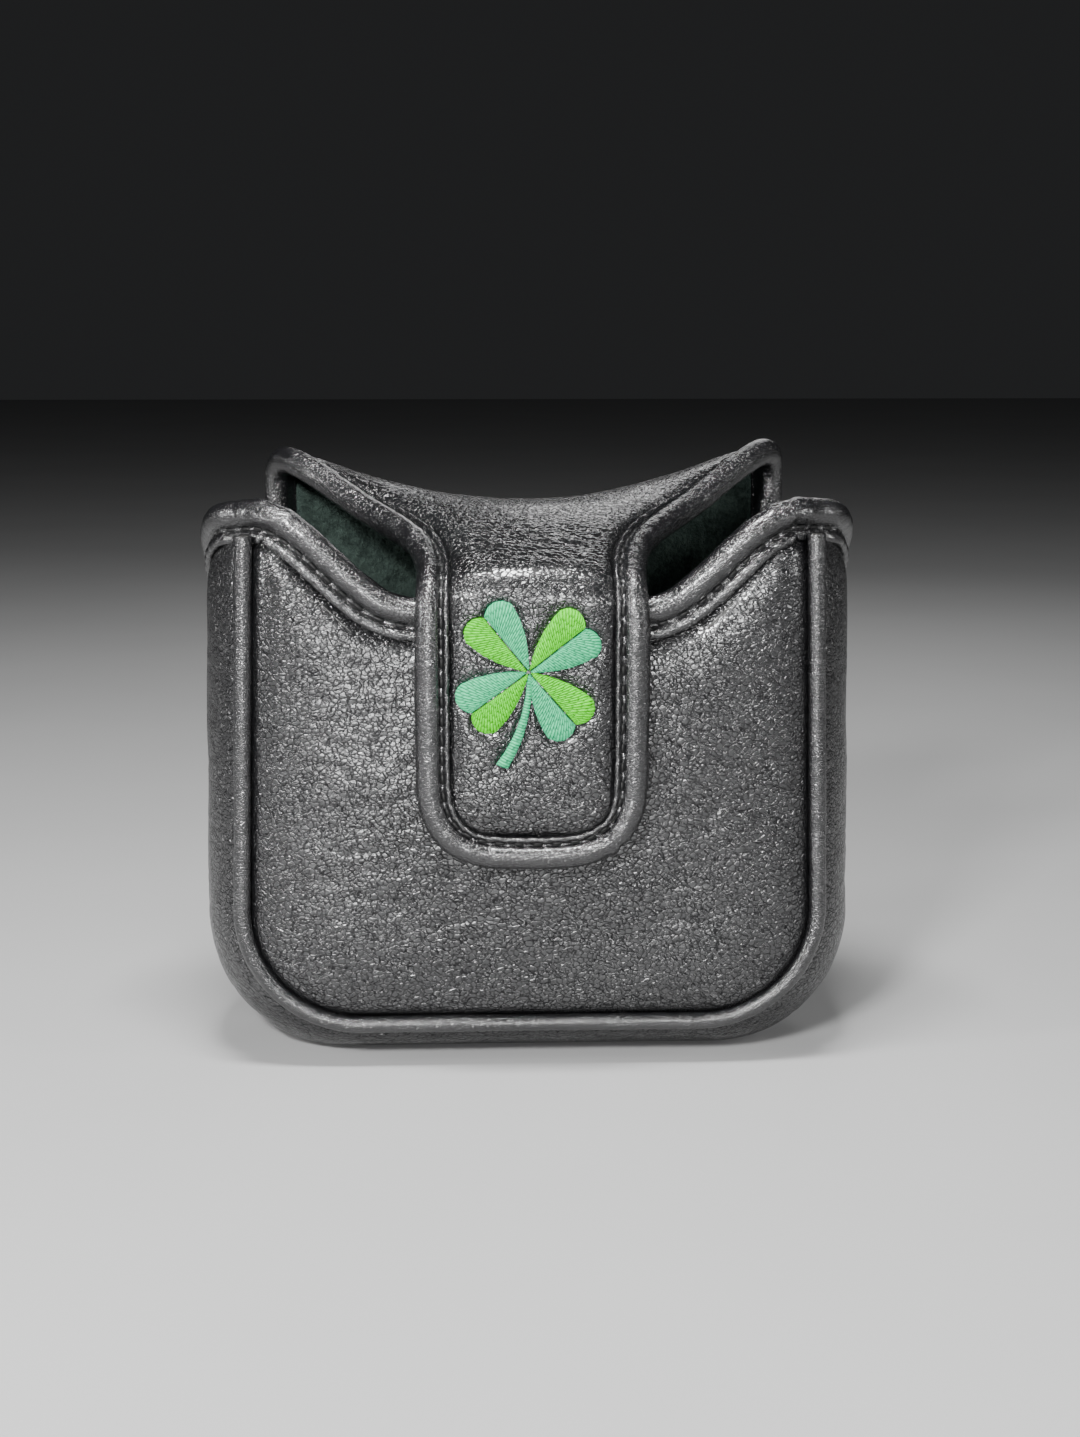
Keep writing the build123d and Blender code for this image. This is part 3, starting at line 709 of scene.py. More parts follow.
def front_grid(rows, columns, inset, gap, guess, *dip):
    """A grid over the front wall at an inset: it ends gap below the middle of the mouth's roll."""
    A, T = np.meshgrid(columns, rows)
    low = SEAM_LOW + inset
    z = low + (mouth_front(A * guess) - gap - low) * T
    for _ in range(6):
        x = A * bottom_half(z, inset)
        z = low + (mouth_front(x) - gap - low) * T
    return np.stack([x, front_surface(x, z, inset, *dip), z], axis=-1)


def front_layer(inset, dip, gap=MOUTH_EDGE):
    return front_grid(np.linspace(0, 1, 110), even_to_edges(150), inset, gap, 46, -dip, 2.6)


FORWARD = np.array([0.0, -1.0, 0.0])
rows = np.linspace(0, 1, 150)
rows = rows + 0.10 * np.sin(2 * np.pi * rows) * -1 / (2 * np.pi)
grid = front_grid(rows, even_to_edges(200, 0.25), 0.0, MOUTH_EDGE, 50.0)
x, z = grid[..., 0], grid[..., 2]
calm = 0.12 + 0.88 * (smooth(seam_distance(x, z) / 7.0) * smooth((mouth_reach(x, z) - 5.0) / 4.0))
leather("front_leather", grid, FORWARD, calm, calm, (0.35, 0.85), "pouch", ["front_panel"])

face = front_layer(WALL, 2.1)
calm = 0.15 + 0.85 * smooth((mouth_reach(face[..., 0], face[..., 2]) - 5.2) / 4.0)
lining(
    "front_plush_lining", face, front_layer(WALL - LINING, 1.0), -FORWARD, calm, 101,
    "pouch", ["front_lining"],
)
foam_pad(
    "front_foam_pad", front_layer(2.0, 1.9, 9.5), front_layer(WALL - LINING - 0.15, 1.9, 9.5), FORWARD,
    FORWARD, 141, "pouch", ["front_foam"],
)


# ---- the gusset ----
BOTTOM_SHARE, ARC_SHARE = 0.21, 0.24      # of each half of the gusset's U


def along_y(y):
    """Share of the gusset's swell at a depth: it stands up steeply beside the piping."""
    arch = 1.0 - np.abs(y / SEAM_Y) ** 2.5
    return arch + 0.24 * (1 - np.exp(-(SEAM_Y - np.abs(y)) / 1.3)) * (1 - arch)


def gusset_point(y, s, inset, dip=1.2):
    """A point of the gusset: s runs along its U from -1 (top left) to 1 (top right)."""
    share = along_y(y * SEAM_Y / (SEAM_Y - inset))
    flare = SEAM_FLARE + (FULL_FLARE - SEAM_FLARE) * share
    base_half = SEAM_HALF + (FULL_HALF - SEAM_HALF) * share
    low = SEAM_LOW + (FULL_LOW - SEAM_LOW) * share
    radius = SEAM_CORNER + 6.0 * share
    lean = np.arctan(flare)
    centre_z = low + radius
    centre_x = base_half + flare * (REF_Z - centre_z) - radius / np.cos(lean)
    touch_z = centre_z + radius * np.sin(lean)
    steep = np.sqrt(1 + slope_of(mouth_side, y) ** 2)
    top = mouth_side(y) - MOUTH_EDGE * steep
    r = radius - inset
    u = np.abs(s)
    turn = -math.pi / 2 + (lean + math.pi / 2) * np.clip((u - BOTTOM_SHARE) / ARC_SHARE, 0, 1)
    up = np.clip((u - BOTTOM_SHARE - ARC_SHARE) / (1 - BOTTOM_SHARE - ARC_SHARE), 0, 1)
    side_z = touch_z + (top - touch_z) * up
    side_x = base_half + flare * (REF_Z - side_z) - inset / np.cos(lean)
    parts = [u < BOTTOM_SHARE, u < BOTTOM_SHARE + ARC_SHARE]
    x = np.select(parts, [centre_x * u / BOTTOM_SHARE, centre_x + r * np.cos(turn)], side_x)
    z = np.select(parts, [low + inset + 0 * u, centre_z + r * np.sin(turn)], side_z)
    reach = (mouth_side(y) - z) / steep
    x = x - np.where(u >= BOTTOM_SHARE, edge_dip(reach, MOUTH_LIP, dip), 0.0)
    return np.stack([x * np.sign(s), y + 0 * x, inset + settle(z - inset)], axis=-1)


S, Y = np.meshgrid(np.linspace(-1, 1, 461), np.linspace(-21.0, 21.0, 66))
grid = gusset_point(Y, S, 0.0)
calm = smooth((21.5 - np.abs(Y)) / 5.0) * smooth((mouth_side(Y) - grid[..., 2] - 5.0) / 5.0)
calm = (0.1 + 0.9 * calm) * np.where(grid[..., 2] < 2.0, 0.12, 1.0)
leather(
    "gusset_leather", grid, np.array([0, 0, -1]), calm, 0.8 * calm, (0.4, 0.8), "pouch", ["gusset"]
)
S, Y = np.meshgrid(np.linspace(-1, 1, 301), np.linspace(-16.2, 16.2, 44))
face = gusset_point(Y, S, WALL, -3.1)
calm = 0.15 + 0.85 * smooth((mouth_side(Y) - face[..., 2] - 5.4) / 4.0)
inward = np.stack([-face[..., 0], 0 * face[..., 0], 60.0 - face[..., 2]], axis=-1)
lining(
    "gusset_plush_lining", face, gusset_point(Y * 1.12, S, WALL - LINING, -2.0), inward, calm,
    111, "pouch", ["gusset_lining"],
)


# ---- pipings ----
def piping_path(top):
    """The U of a piping in its plane, left top to right top, with the outward direction."""
    radius = SEAM_CORNER + PIPING_OUT
    lean = math.atan(SEAM_FLARE)
    centre_z = SEAM_LOW - PIPING_OUT + radius
    centre_x = seam_half(centre_z) + PIPING_OUT / math.cos(lean) - radius / math.cos(lean)
    z = top + (centre_z + radius * math.sin(lean) - top) * np.linspace(0, 1, 100)
    level = np.ones(100)
    straight = (-(seam_half(z) + PIPING_OUT), z, -math.cos(lean) * level, math.sin(lean) * level)
    turn = math.pi - lean + (math.pi / 2 + lean) * np.linspace(0, 1, 50)[1:]
    x, z = np.cos(turn), np.sin(turn)
    left = np.concatenate([straight, (-centre_x + radius * x, centre_z + radius * z, x, z)], axis=1).T
    both = np.concatenate([left, left[::-1] * (-1, 1, -1, 1)])
    run = run_along(both[:, :2])
    even = np.linspace(0, run[-1], int(run[-1] / PATH_STEP))
    both = read_at(even, run, both)
    return both[:, :2], unit(both[:, 2:]), even


def piping(node, side, top, seed):
    flat, outward, run = piping_path(top)
    path = np.stack([flat[:, 0], np.full(len(flat), side * (SEAM_Y + PIPING_OUT)), flat[:, 1]], axis=1)
    out = np.stack([outward[:, 0], 0 * run, outward[:, 1]], axis=1)
    deeper = np.broadcast_to(np.array([0.0, 1.0, 0.0]), path.shape)
    angle = full_turn(32)
    spot = np.stack(np.broadcast_arrays(run[:, None], np.cos(angle) * 2.5, np.sin(angle) * 2.5), axis=-1)
    radius = PIPING_R + lumps(spot, seed, ((1.3, 3.0, 3.0), 0.05), ((0.7, 1.8, 1.8), 0.035))
    radius = radius + creases(spot, (1.5, 6.0, 6.0), seed + 2) * 0.05
    radius = radius + noise(spot, (14, 5, 5), seed + 3) * 0.08
    shape = sweep(path, out, deeper, round_profile(radius, angle, side))
    piece(node + "_leather", shape, piping_leather, "pouch", [node])


piping("front_piping", -1, FRONT_PIPING_TOP, 31)
piping("back_piping", 1, BACK_PIPING_TOP, 41)


# ---- bindings ----
def on_circle(radius, degrees):
    return [(radius * math.cos(turn), radius * math.sin(turn)) for turn in np.radians(degrees)]


def binding_profile(channel, lip_start, lip_end, drop=0.42):
    """A binding's section, n outwards and u down into the wall: lip, stitched channel, roll, inner
    flange, then back along its inside."""
    middle = (lip_start + lip_end) / 2
    span = lip_end - lip_start
    start = math.degrees(math.asin(min((channel - 0.62) / ROLL_R, 0.80)))
    return np.array([
        (drop, lip_end - 0.06), (drop + 0.55, lip_end + 0.14), (drop + 1.05, lip_end + 0.06),
        (drop + 1.42, lip_end - 0.20), (drop + 1.54, middle + 0.12 * span),
        (drop + 1.44, middle - 0.15 * span), (drop + 1.08, lip_start + 0.02), (0.96, lip_start - 0.22),
        (0.86, channel + 0.02), (0.88, channel - 0.22), (1.06, channel - 0.46),
        *on_circle(ROLL_R, np.linspace(start, -215, 20)),
        (-1.72, channel - 0.25), (-1.45, channel + 0.35), (-1.42, middle), (-1.46, lip_end - 0.3),
        (-1.18, lip_end), (-0.80, lip_end - 0.2), (-0.72, middle), (-0.74, channel + 0.3),
        (-1.02, channel - 0.45),
        *on_circle(ROLL_HOLLOW, np.linspace(-212, 40, 12)),
        (0.85, channel - 0.55), (0.34, channel + 0.1), (0.32, lip_start), (0.36, middle),
    ])


BINDING_OUTSIDE = 36      # points of a binding's section that lie on its outside


def frames_for(path, outward):
    """Unit tangent, side (outward) and down vectors along a path, from rough outward directions."""
    tangent = unit(np.gradient(path, axis=0))
    side = unit(outward - tangent * (outward * tangent).sum(axis=1, keepdims=True))
    return tangent, side, unit(np.cross(tangent, side))


def crumple_at(path, spots):
    """How crumpled a binding is along its path: spots are (place, size, strength)."""
    return sum(
        strength * np.exp(-(np.linalg.norm(path - np.array(place), axis=1) / size) ** 2)
        for place, size, strength in spots
    )


def binding_rings(path, profile, channel, seed, crumpled):
    """The section at every station, worked over by its stitches, wrinkles and puckers."""
    run = run_along(path)
    shape = len(path), len(profile)
    n = np.broadcast_to(profile[:, 0], shape).copy()
    u = np.broadcast_to(profile[:, 1], shape).copy()
    phase = run[:, None] / STITCH_PITCH
    hole = (0.5 + 0.5 * np.cos(2 * np.pi * phase)) ** 4
    near_channel = np.exp(-(((u - channel) / 0.55) ** 2)) * (n > 0.3)
    on_lip = smooth((u - channel - 0.1) / 0.6) * (n > 0.7)
    n += near_channel * (hole * 0.52 - 0.16)
    u += on_lip * (-0.34 * (1 - phase % 1.0) + 0.14) * np.exp(-np.maximum(u - channel - 0.6, 0) / 0.9)
    n -= on_lip * hole * 0.26
    on_roll = (u < channel - 0.6) & (np.hypot(n, u) > 2.3)
    around = np.arctan2(u, n) * ROLL_R
    spot = np.stack([np.broadcast_to(run[:, None], shape), around, 0 * n], axis=-1)
    wrinkle = lumps(spot, seed, ((2.2, 5.0, 1.0), 0.07), ((0.9, 2.6, 1.0), 0.045))
    wrinkle = wrinkle + creases(spot, (1.7, 8.0, 1.0), seed + 2) * 0.07
    wrinkle = wrinkle + noise(spot, (9, 6, 1), seed + 3) * 0.11
    pinch = hole * smooth((u - channel + 2.4) / 1.8) * 0.16
    size = 1 + np.where(on_roll, (wrinkle - pinch) / ROLL_R, 0.0)
    n, u = n * size, u * size
    lip_wave = lumps(spot, seed + 5, ((3.2, 30, 1), 0.10), ((1.1, 30, 1), 0.06))
    n += on_lip * lip_wave
    u += on_lip * lip_wave * 0.5
    crumple = noise(spot, (1.8, 2.4, 1.0), seed + 9) * 0.55 + creases(spot, (2.0, 3.0, 1), seed + 10) * 0.45
    outer_side = (n > 0.6) | on_roll
    n += crumpled[:, None] * crumple * outer_side * 0.8
    u += crumpled[:, None] * noise(spot, (1.6, 3.0, 1), seed + 12) * outer_side * 0.45
    return np.stack([n, u], axis=-1), run


def capsules(centres, directions, ups, length, radius):
    """Short rounded threads, as one shape."""
    across = unit(np.cross(directions, ups))
    rings = [(-0.5, 0.30), (-0.44, 0.75), (-0.25, 1.0), (0.25, 1.0), (0.44, 0.75), (0.5, 0.30)]
    sides, squeeze = 8, 0.75
    angle = full_turn(sides)[:, None]
    fan = np.arange(1, sides - 1)
    points, quads, caps = [], [], []
    for k in range(len(centres)):
        first = k * len(rings) * sides
        for share, swell in rings:
            middle = centres[k] + directions[k] * (share * length)
            middle = middle - ups[k] * (radius * 1.1 * (abs(share) * 2) ** 4)
            wide, high = np.cos(angle) * radius * swell, np.sin(angle) * radius * swell * squeeze
            points.append(middle + across[k] * wide + ups[k] * high)
        quads.append(grid_faces(len(rings), sides, wrap_columns=True, first=first)[:, ::-1])
        end = first + (len(rings) - 1) * sides
        caps.append(np.stack([np.full(sides - 2, first), first + fan, first + fan + 1], axis=1))
        caps.append(np.stack([np.full(sides - 2, end), end + fan + 1, end + fan], axis=1))
    return np.concatenate(points), np.concatenate(quads), np.concatenate(caps)


def stitches(path, frames, channel, first=0.5):
    """The sewing thread lying in a binding's channel."""
    tangent, side, down = frames
    run = run_along(path)
    at = np.arange(first * STITCH_PITCH, run[-1] - 0.3 * STITCH_PITCH, STITCH_PITCH)
    path, tangent, side, down = (read_at(at, run, values) for values in (path, tangent, side, down))
    centres = path + side * STITCH_HEIGHT + down * channel
    return capsules(centres, unit(tangent), unit(side), STITCH_PITCH * 0.62, 0.36)


def cord(path, side, down):
    """A three-ply cord lying in a roll."""
    path, side, down = path[::2], side[::2], down[::2]
    angle = full_turn(18)
    radius = 1.28 + 0.16 * np.cos(3 * (angle[None, :] - run_along(path)[:, None] * 2 * np.pi / 9.0))
    return sweep(path, side, down, round_profile(radius, angle))


def mouth_knots(sign):
    """The middle of the mouth's roll, from the front's middle to one of its back ends."""
    line = []
    for x in (0.0, 6.0, 12.0, 18.0, 23.0, 28.0, 33.0, 38.0, 42.5):
        z = mouth_front(sign * x)
        line.append((sign * x, front_surface(sign * x, z - 6.0, dip=0.0) + HALF_WALL, z))
    line.append((sign * 46.8, -22.6, mouth_front(sign * 46.8)))
    line.append((sign * 50.6, -20.9, MOUTH_DIP_Z + MOUTH_RISE + 0.1))
    line.append((sign * 54.0, -18.4, mouth_side(-18.4)))
    for y in (-15.6, -12.0, -8.0, -4.0, 0.0, 4.0, 8.0, 12.0, 15.0, 17.6):
        z = mouth_side(y)
        half = seam_half(z)
        full = FULL_HALF + FULL_FLARE * (REF_Z - z)
        line.append((sign * (half + (full - half) * along_y(y) - 1.6), y, z))
    return line + [(sign * 54.9, 19.4, 84.6)]


mouth_path = resample(mouth_knots(-1)[:0:-1] + mouth_knots(1))
mouth_plan = unit(np.gradient(mouth_path, axis=0) * np.array([1.0, 1.0, 0.0]))
mouth_outward = np.stack([mouth_plan[:, 1], -mouth_plan[:, 0], 0 * mouth_plan[:, 0]], axis=1)
mouth_frames = frames_for(mouth_path, mouth_outward)
rings, _ = binding_rings(
    mouth_path, binding_profile(MOUTH_CHANNEL, 3.35, MOUTH_LIP), MOUTH_CHANNEL, 51,
    crumple_at(mouth_path, [((sign * 50.0, -21.5, 106.5), 4.5, 1.0) for sign in (-1, 1)]),
)
shape = sweep(mouth_path, *mouth_frames[1:], rings, BINDING_OUTSIDE)
piece("mouth_binding_leather", shape, binding_leather, "pouch", ["mouth_binding"])
shape = stitches(mouth_path, mouth_frames, MOUTH_CHANNEL)
piece("mouth_stitches", shape, black_thread, "pouch")
shape = cord(*(values[3:-3] for values in (mouth_path, *mouth_frames[1:])))
piece("mouth_filler_cord", shape, cord_fibre, "pouch", ["mouth_binding_cord"])


# ---- the clover's outline ----
CLOVER_X, CLOVER_Z = -0.7, 80.2
LEAF_LENGTH, LEAF_HALF = 14.4, 5.5
LEAF_TURNS = (38.0, 129.0, 216.0, 311.0)


def arc_points(a, b, c, count):
    """Points of the circle arc from a through b to c."""
    (ax, ay), (bx, by), (cx, cy) = a, b, c
    d = 2 * (ax * (by - cy) + bx * (cy - ay) + cx * (ay - by))
    aa, bb, cc = ax**2 + ay**2, bx**2 + by**2, cx**2 + cy**2
    ux = (aa * (by - cy) + bb * (cy - ay) + cc * (ay - by)) / d
    uy = (aa * (cx - bx) + bb * (ax - cx) + cc * (bx - ax)) / d
    r = math.hypot(ax - ux, ay - uy)
    start, mid, end = (math.atan2(y - uy, x - ux) for x, y in (a, b, c))
    sweep_end = (end - start) % (2 * math.pi)
    if (mid - start) % (2 * math.pi) > sweep_end:
        sweep_end -= 2 * math.pi
    turn = start + np.linspace(0, 1, count) * sweep_end
    return np.stack([ux + r * np.cos(turn), uy + r * np.sin(turn)], axis=1)


def leaf_edges(side):
    """The vein and the outline of half a leaf, whose root is at the clover's middle."""
    gap = side * 0.10
    root, notch = (0.25, gap), (0.91 * LEAF_LENGTH, gap)
    belly = (0.45 * LEAF_LENGTH, side * 0.74 * LEAF_HALF)
    shoulder = (0.80 * LEAF_LENGTH, side * LEAF_HALF)
    lobe = (0.985 * LEAF_LENGTH, side * 0.55 * LEAF_HALF)
    low, high = arc_points(root, belly, shoulder, 40), arc_points(shoulder, lobe, notch, 40)
    return np.linspace(root, notch, 60), np.concatenate([low, high[1:]])


stem_left = arc_points((-0.35, -0.6), (-1.75, -9.2), (-6.2, -17.5), 50)
stem_right = arc_points((0.40, -0.6), (-0.45, -9.9), (-4.1, -18.4), 50)


def clover_place(flat, turn=0.0):
    """Points of the clover's own plane on the tongue, as x and z."""
    angle = math.radians(turn)
    x = CLOVER_X + flat[..., 0] * math.cos(angle) - flat[..., 1] * math.sin(angle)
    z = CLOVER_Z + flat[..., 0] * math.sin(angle) + flat[..., 1] * math.cos(angle)
    return x, z


def clover_press(x, z):
    """How deep the stitches pull the leather down along the clover's outline."""
    lines = [clover_place(leaf_edges(side)[1], turn) for side in (-1, 1) for turn in LEAF_TURNS]
    lines += [clover_place(stem_left), clover_place(stem_right)]
    nearest = np.full(x.shape, 1e9)
    for edge_x, edge_z in np.concatenate([np.transpose(line) for line in lines]):
        nearest = np.minimum(nearest, (x - edge_x) ** 2 + (z - edge_z) ** 2)
    return 0.34 * np.exp(-nearest / 0.55**2) + 0.20 * np.exp(-nearest / 1.6**2)


# ---- back and flap: leather, foam and lining ----
def flap_share(v):
    """0 on the piped part of the back, 1 where the strip has the flap's rolled edge."""
    return smooth((v - 78.0) / 7.0)


def strip_edge(v, inside):
    """Half width of the strip's leather: to the seam low down, tucked into the binding above."""
    slope = np.where(v > V_CROWN, 0.0, slope_of(flap_half, v))
    crown = flap_half(v) - inside * np.sqrt(1 + slope**2) * flap_share(v)
    return np.where(v > V_CROWN, tongue_end(v, inside), crown)


def strip_inset(X, V, inset, dip, tail):
    """The strip's points at an inset from its full outer face, dipped towards its edges."""
    normal = strip_normal(X, V)
    u = tongue_distance(X, V)
    sharp = edge_dip(u, FLAP_LIP, 0.7 * dip, 0.5 * tail)
    soft = edge_dip(u, FLAP_LIP, 0.3 * dip, 2.7 * tail)
    return strip(X, V) - normal * (inset + (sharp + soft) * flap_share(V))[..., None], normal


def leather_strip(name, v_low, v_high, rows, columns, on, stands_for, wrinkles, pressed=False):
    A, V = np.meshgrid(even_to_edges(columns), np.linspace(v_low, v_high, rows))
    X = A * strip_edge(V, FLAP_EDGE)
    grid, normal = strip_inset(X, V, 0.0, FULL_DIP, 2.2)
    share = flap_share(V)
    low = smooth(seam_distance(X, V) / 7.0)
    high = smooth((tongue_distance(X, V) - FLAP_LIP) / 3.5)
    calm = 0.12 + 0.88 * (low * (1 - share) + high * share)
    fade = 0.25 + 0.75 * smooth(np.abs(V - V_MID) / 6.0)
    press = clover_press(X, V_FRONT + FRONT_FOLD_Z - V) if pressed else None
    return leather(
        name, grid, normal, calm, wrinkles * calm * fade, (0.35, 0.75), on, stands_for, press
    )


def strip_layer(v_low, v_high, rows, columns, inset, dip, edge=FLAP_EDGE):
    """A grid over a layer that lies under part of the strip's leather."""
    A, V = np.meshgrid(even_to_edges(columns), np.linspace(v_low, v_high, rows))
    share = flap_share(V)
    low = bottom_half(np.maximum(V, SEAM_LOW + inset), inset)
    X = A * np.where(V < 60, low, strip_edge(V, edge) - inset * (1 - share))
    grid, normal = strip_inset(X, V, inset, -dip, 2.4)
    deep = VALLEY_Y - inset + (FACE_Y - VALLEY_Y) * pillow(seam_distance(X, V) - inset)
    grid[..., 1] = np.where(V < V_BACK - 8, grid[..., 1] * share + deep * (1 - share), grid[..., 1])
    grid[..., 2] = np.where(share < 1e-6, V, grid[..., 2])
    return grid, X, V, normal


def strip_lining(name, span, seed, on, stands_for):
    face, X, V, normal = strip_layer(*span, WALL, 2.1)
    calm = 0.15 + 0.85 * smooth((tongue_distance(X, V) - FLAP_LIP) / 4.0)
    calm = np.where(V < 80, 1.0, calm) * (0.35 + 0.65 * smooth(np.abs(V - V_MID) / 5.0))
    back = strip_layer(*span, WALL - LINING, 1.0)[0]
    lining(name, face, back, -normal, calm, seed, on, stands_for)


def strip_foam(name, span, on, stands_for):
    outer, _, _, normal = strip_layer(*span, 2.0, 0.0, FOAM_EDGE)
    inner = strip_layer(*span, 3.3, 0.0, FOAM_EDGE)[0]
    foam_pad(name, outer, inner, normal, -normal, 151, on, stands_for)


leather_strip("back_and_crown_leather", SEAM_LOW, V_MID, 190, 150, OVER_BACK, ["back_panel"], 0.9)
tongue_outer = leather_strip(
    "crown_and_tongue_leather", V_MID, V_END - FLAP_EDGE, 240, 130, OVER_FRONT,
    ["crown_panel", "tongue_panel"], 0.55, pressed=True,
)
strip_lining(
    "back_and_crown_plush_lining", (SEAM_LOW + WALL, V_MID, 150, 130), 121,
    OVER_BACK, ["back_lining"],
)
strip_foam("back_and_crown_foam_pad", (SEAM_LOW + WALL + 1.0, V_MID, 120, 90), OVER_BACK, ["back_foam"])
strip_foam(
    "crown_and_tongue_foam_pad", (V_MID, V_END - FOAM_EDGE, 110, 60), OVER_FRONT,
    ["crown_foam", "tongue_foam"],
)
strip_lining(
    "crown_and_tongue_plush_lining", (V_MID, V_END - FLAP_EDGE, 130, 80), 131,
    OVER_FRONT, ["crown_lining", "tongue_lining"],
)


# ---- the flap's binding ----
def averaged(values):
    """Each point between its neighbours, without the two ends."""
    return (values[:-2] + 2 * values[1:-1] + values[2:]) / 4


def flap_edge_path():
    """The middle of the roll: up the right of the back, round the tongue, and down the left."""
    flat_half = TONGUE_HALF - TONGUE_CORNER
    along_edge = [np.arange(82.5, V_CROWN, 1.0), np.arange(V_CROWN, V_END - TONGUE_CORNER, 1.0)]
    half = [(float(flap_half(v)), v) for v in np.concatenate(along_edge)]
    for x, v in on_circle(TONGUE_CORNER, np.linspace(0, 90, 14)[1:]):
        half.append((flat_half + x, V_END - TONGUE_CORNER + v))
    for x in np.linspace(flat_half, 0, 6)[1:]:
        half.append((x, V_END + 0.25 * (1 - x / flat_half)))
    half = np.array(half)
    xv = np.concatenate([half, (half * (-1, 1))[-2::-1]])
    normal = strip_normal(xv[:, 0], xv[:, 1])
    middle = strip(xv[:, 0], xv[:, 1]) - normal * HALF_WALL
    run = run_along(middle)
    packed = np.concatenate([middle, normal, xv], axis=1)
    for _ in range(3):
        packed[1:-1, :3] = averaged(packed[:, :3])
    fine = read_at(np.linspace(0, run[-1], int(run[-1] / PATH_STEP)), run, packed)
    for _ in range(44):
        fine[1:-1] = averaged(fine)
    tips = [fine[np.argmax(fine[:, 2] * (np.sign(fine[:, 0]) == side)), :3].copy() for side in (-1, 1)]
    near = crumple_at(fine[:, :3], [(tip, 7.0, 1.0) for tip in tips])[1:-1, None]
    for _ in range(110):
        fine[1:-1] += near * (averaged(fine) - fine[1:-1])
    return fine[:, :3], unit(fine[:, 3:6]), fine[:, 7]


flap_path, flap_outward, flap_v = flap_edge_path()
flap_frames = frames_for(flap_path, flap_outward)
CRUMPLES = [
    ((-43.0, 6.0, 106.5), 4.0, 0.5), ((14.5, -30.6, 49.0), 3.2, 1.1),
    ((-25.0, -17.0, 103.0), 5.0, 1.0), ((27.0, -14.0, 104.0), 4.0, 0.5),
]
flap_rings, flap_run = binding_rings(
    flap_path, binding_profile(FLAP_CHANNEL, 2.72, FLAP_LIP, 0.34), FLAP_CHANNEL, 71,
    crumple_at(flap_path, CRUMPLES),
)
final = len(flap_v) - 1
last_right = int(np.argmax(flap_v >= V_MID))
first_left = final - int(np.argmax(flap_v[::-1] >= V_MID))
for side_name, first, last, cord_part, on, cut_names in (
    ("right", 0, last_right, slice(4, last_right - 1), OVER_BACK, ("back_{}_right", "crown_{}_right")),
    ("left", first_left, final, slice(first_left + 1, final - 4), OVER_BACK,
     ("back_{}_left", "crown_{}_left")),
    ("front", last_right, first_left, slice(last_right + 1, first_left - 1), OVER_FRONT, ("tongue_{}",)),
):
    part = slice(first, last + 1)
    path, frames = flap_path[part], [values[part] for values in flap_frames]
    shape = sweep(path, *frames[1:], flap_rings[part], BINDING_OUTSIDE)
    stands_for = [cut.format("binding") for cut in cut_names]
    piece(f"flap_binding_{side_name}", shape, binding_leather, on, stands_for)
    lead = (-flap_run[first] / STITCH_PITCH) % 1.0
    shape = stitches(path, frames, FLAP_CHANNEL, (lead + 0.5) % 1.0)
    piece(f"flap_stitches_{side_name}", shape, black_thread, on)
    shape = cord(*(values[cord_part] for values in (flap_path, *flap_frames[1:])))
    stands_for = [cut.format("binding_cord") for cut in cut_names]
    piece(f"flap_filler_cord_{side_name}", shape, cord_fibre, on, stands_for)

# ---- the embroidered clover ----
tongue_columns = even_to_edges(tongue_outer.shape[1])
tongue_sorted = tongue_outer if tongue_outer[0, 0, 0] < tongue_outer[0, -1, 0] else tongue_outer[:, ::-1]
tongue_normals = grid_normals(tongue_sorted)
if tongue_normals[-10, len(tongue_columns) // 2, 1] > 0:
    tongue_normals = -tongue_normals


def on_tongue(x, z):
    """Points of the tongue's leather in front of (x, z), and the normals there."""
    v = V_FRONT + FRONT_FOLD_Z - z
    rows, count = tongue_sorted.shape[:2]
    row = np.clip((v - V_MID) / (V_END - FLAP_EDGE - V_MID) * (rows - 1), 0, rows - 1.001)
    column = np.interp(x / strip_edge(v, FLAP_EDGE), tongue_columns, np.arange(count))
    column = np.clip(column, 0, count - 1.001)
    r, c = row.astype(int), column.astype(int)
    fr, fc = (row - r)[..., None], (column - c)[..., None]

    def mixed(grid):
        return (
            grid[r, c] * (1 - fr) * (1 - fc) + grid[r + 1, c] * fr * (1 - fc)
            + grid[r, c + 1] * (1 - fr) * fc + grid[r + 1, c + 1] * fr * fc
        )

    return np.stack([x, mixed(tongue_sorted)[..., 1], z], axis=-1), unit(mixed(tongue_normals))


def along(points, t):
    run = run_along(points)
    return read_at(t * run[-1], run, points)


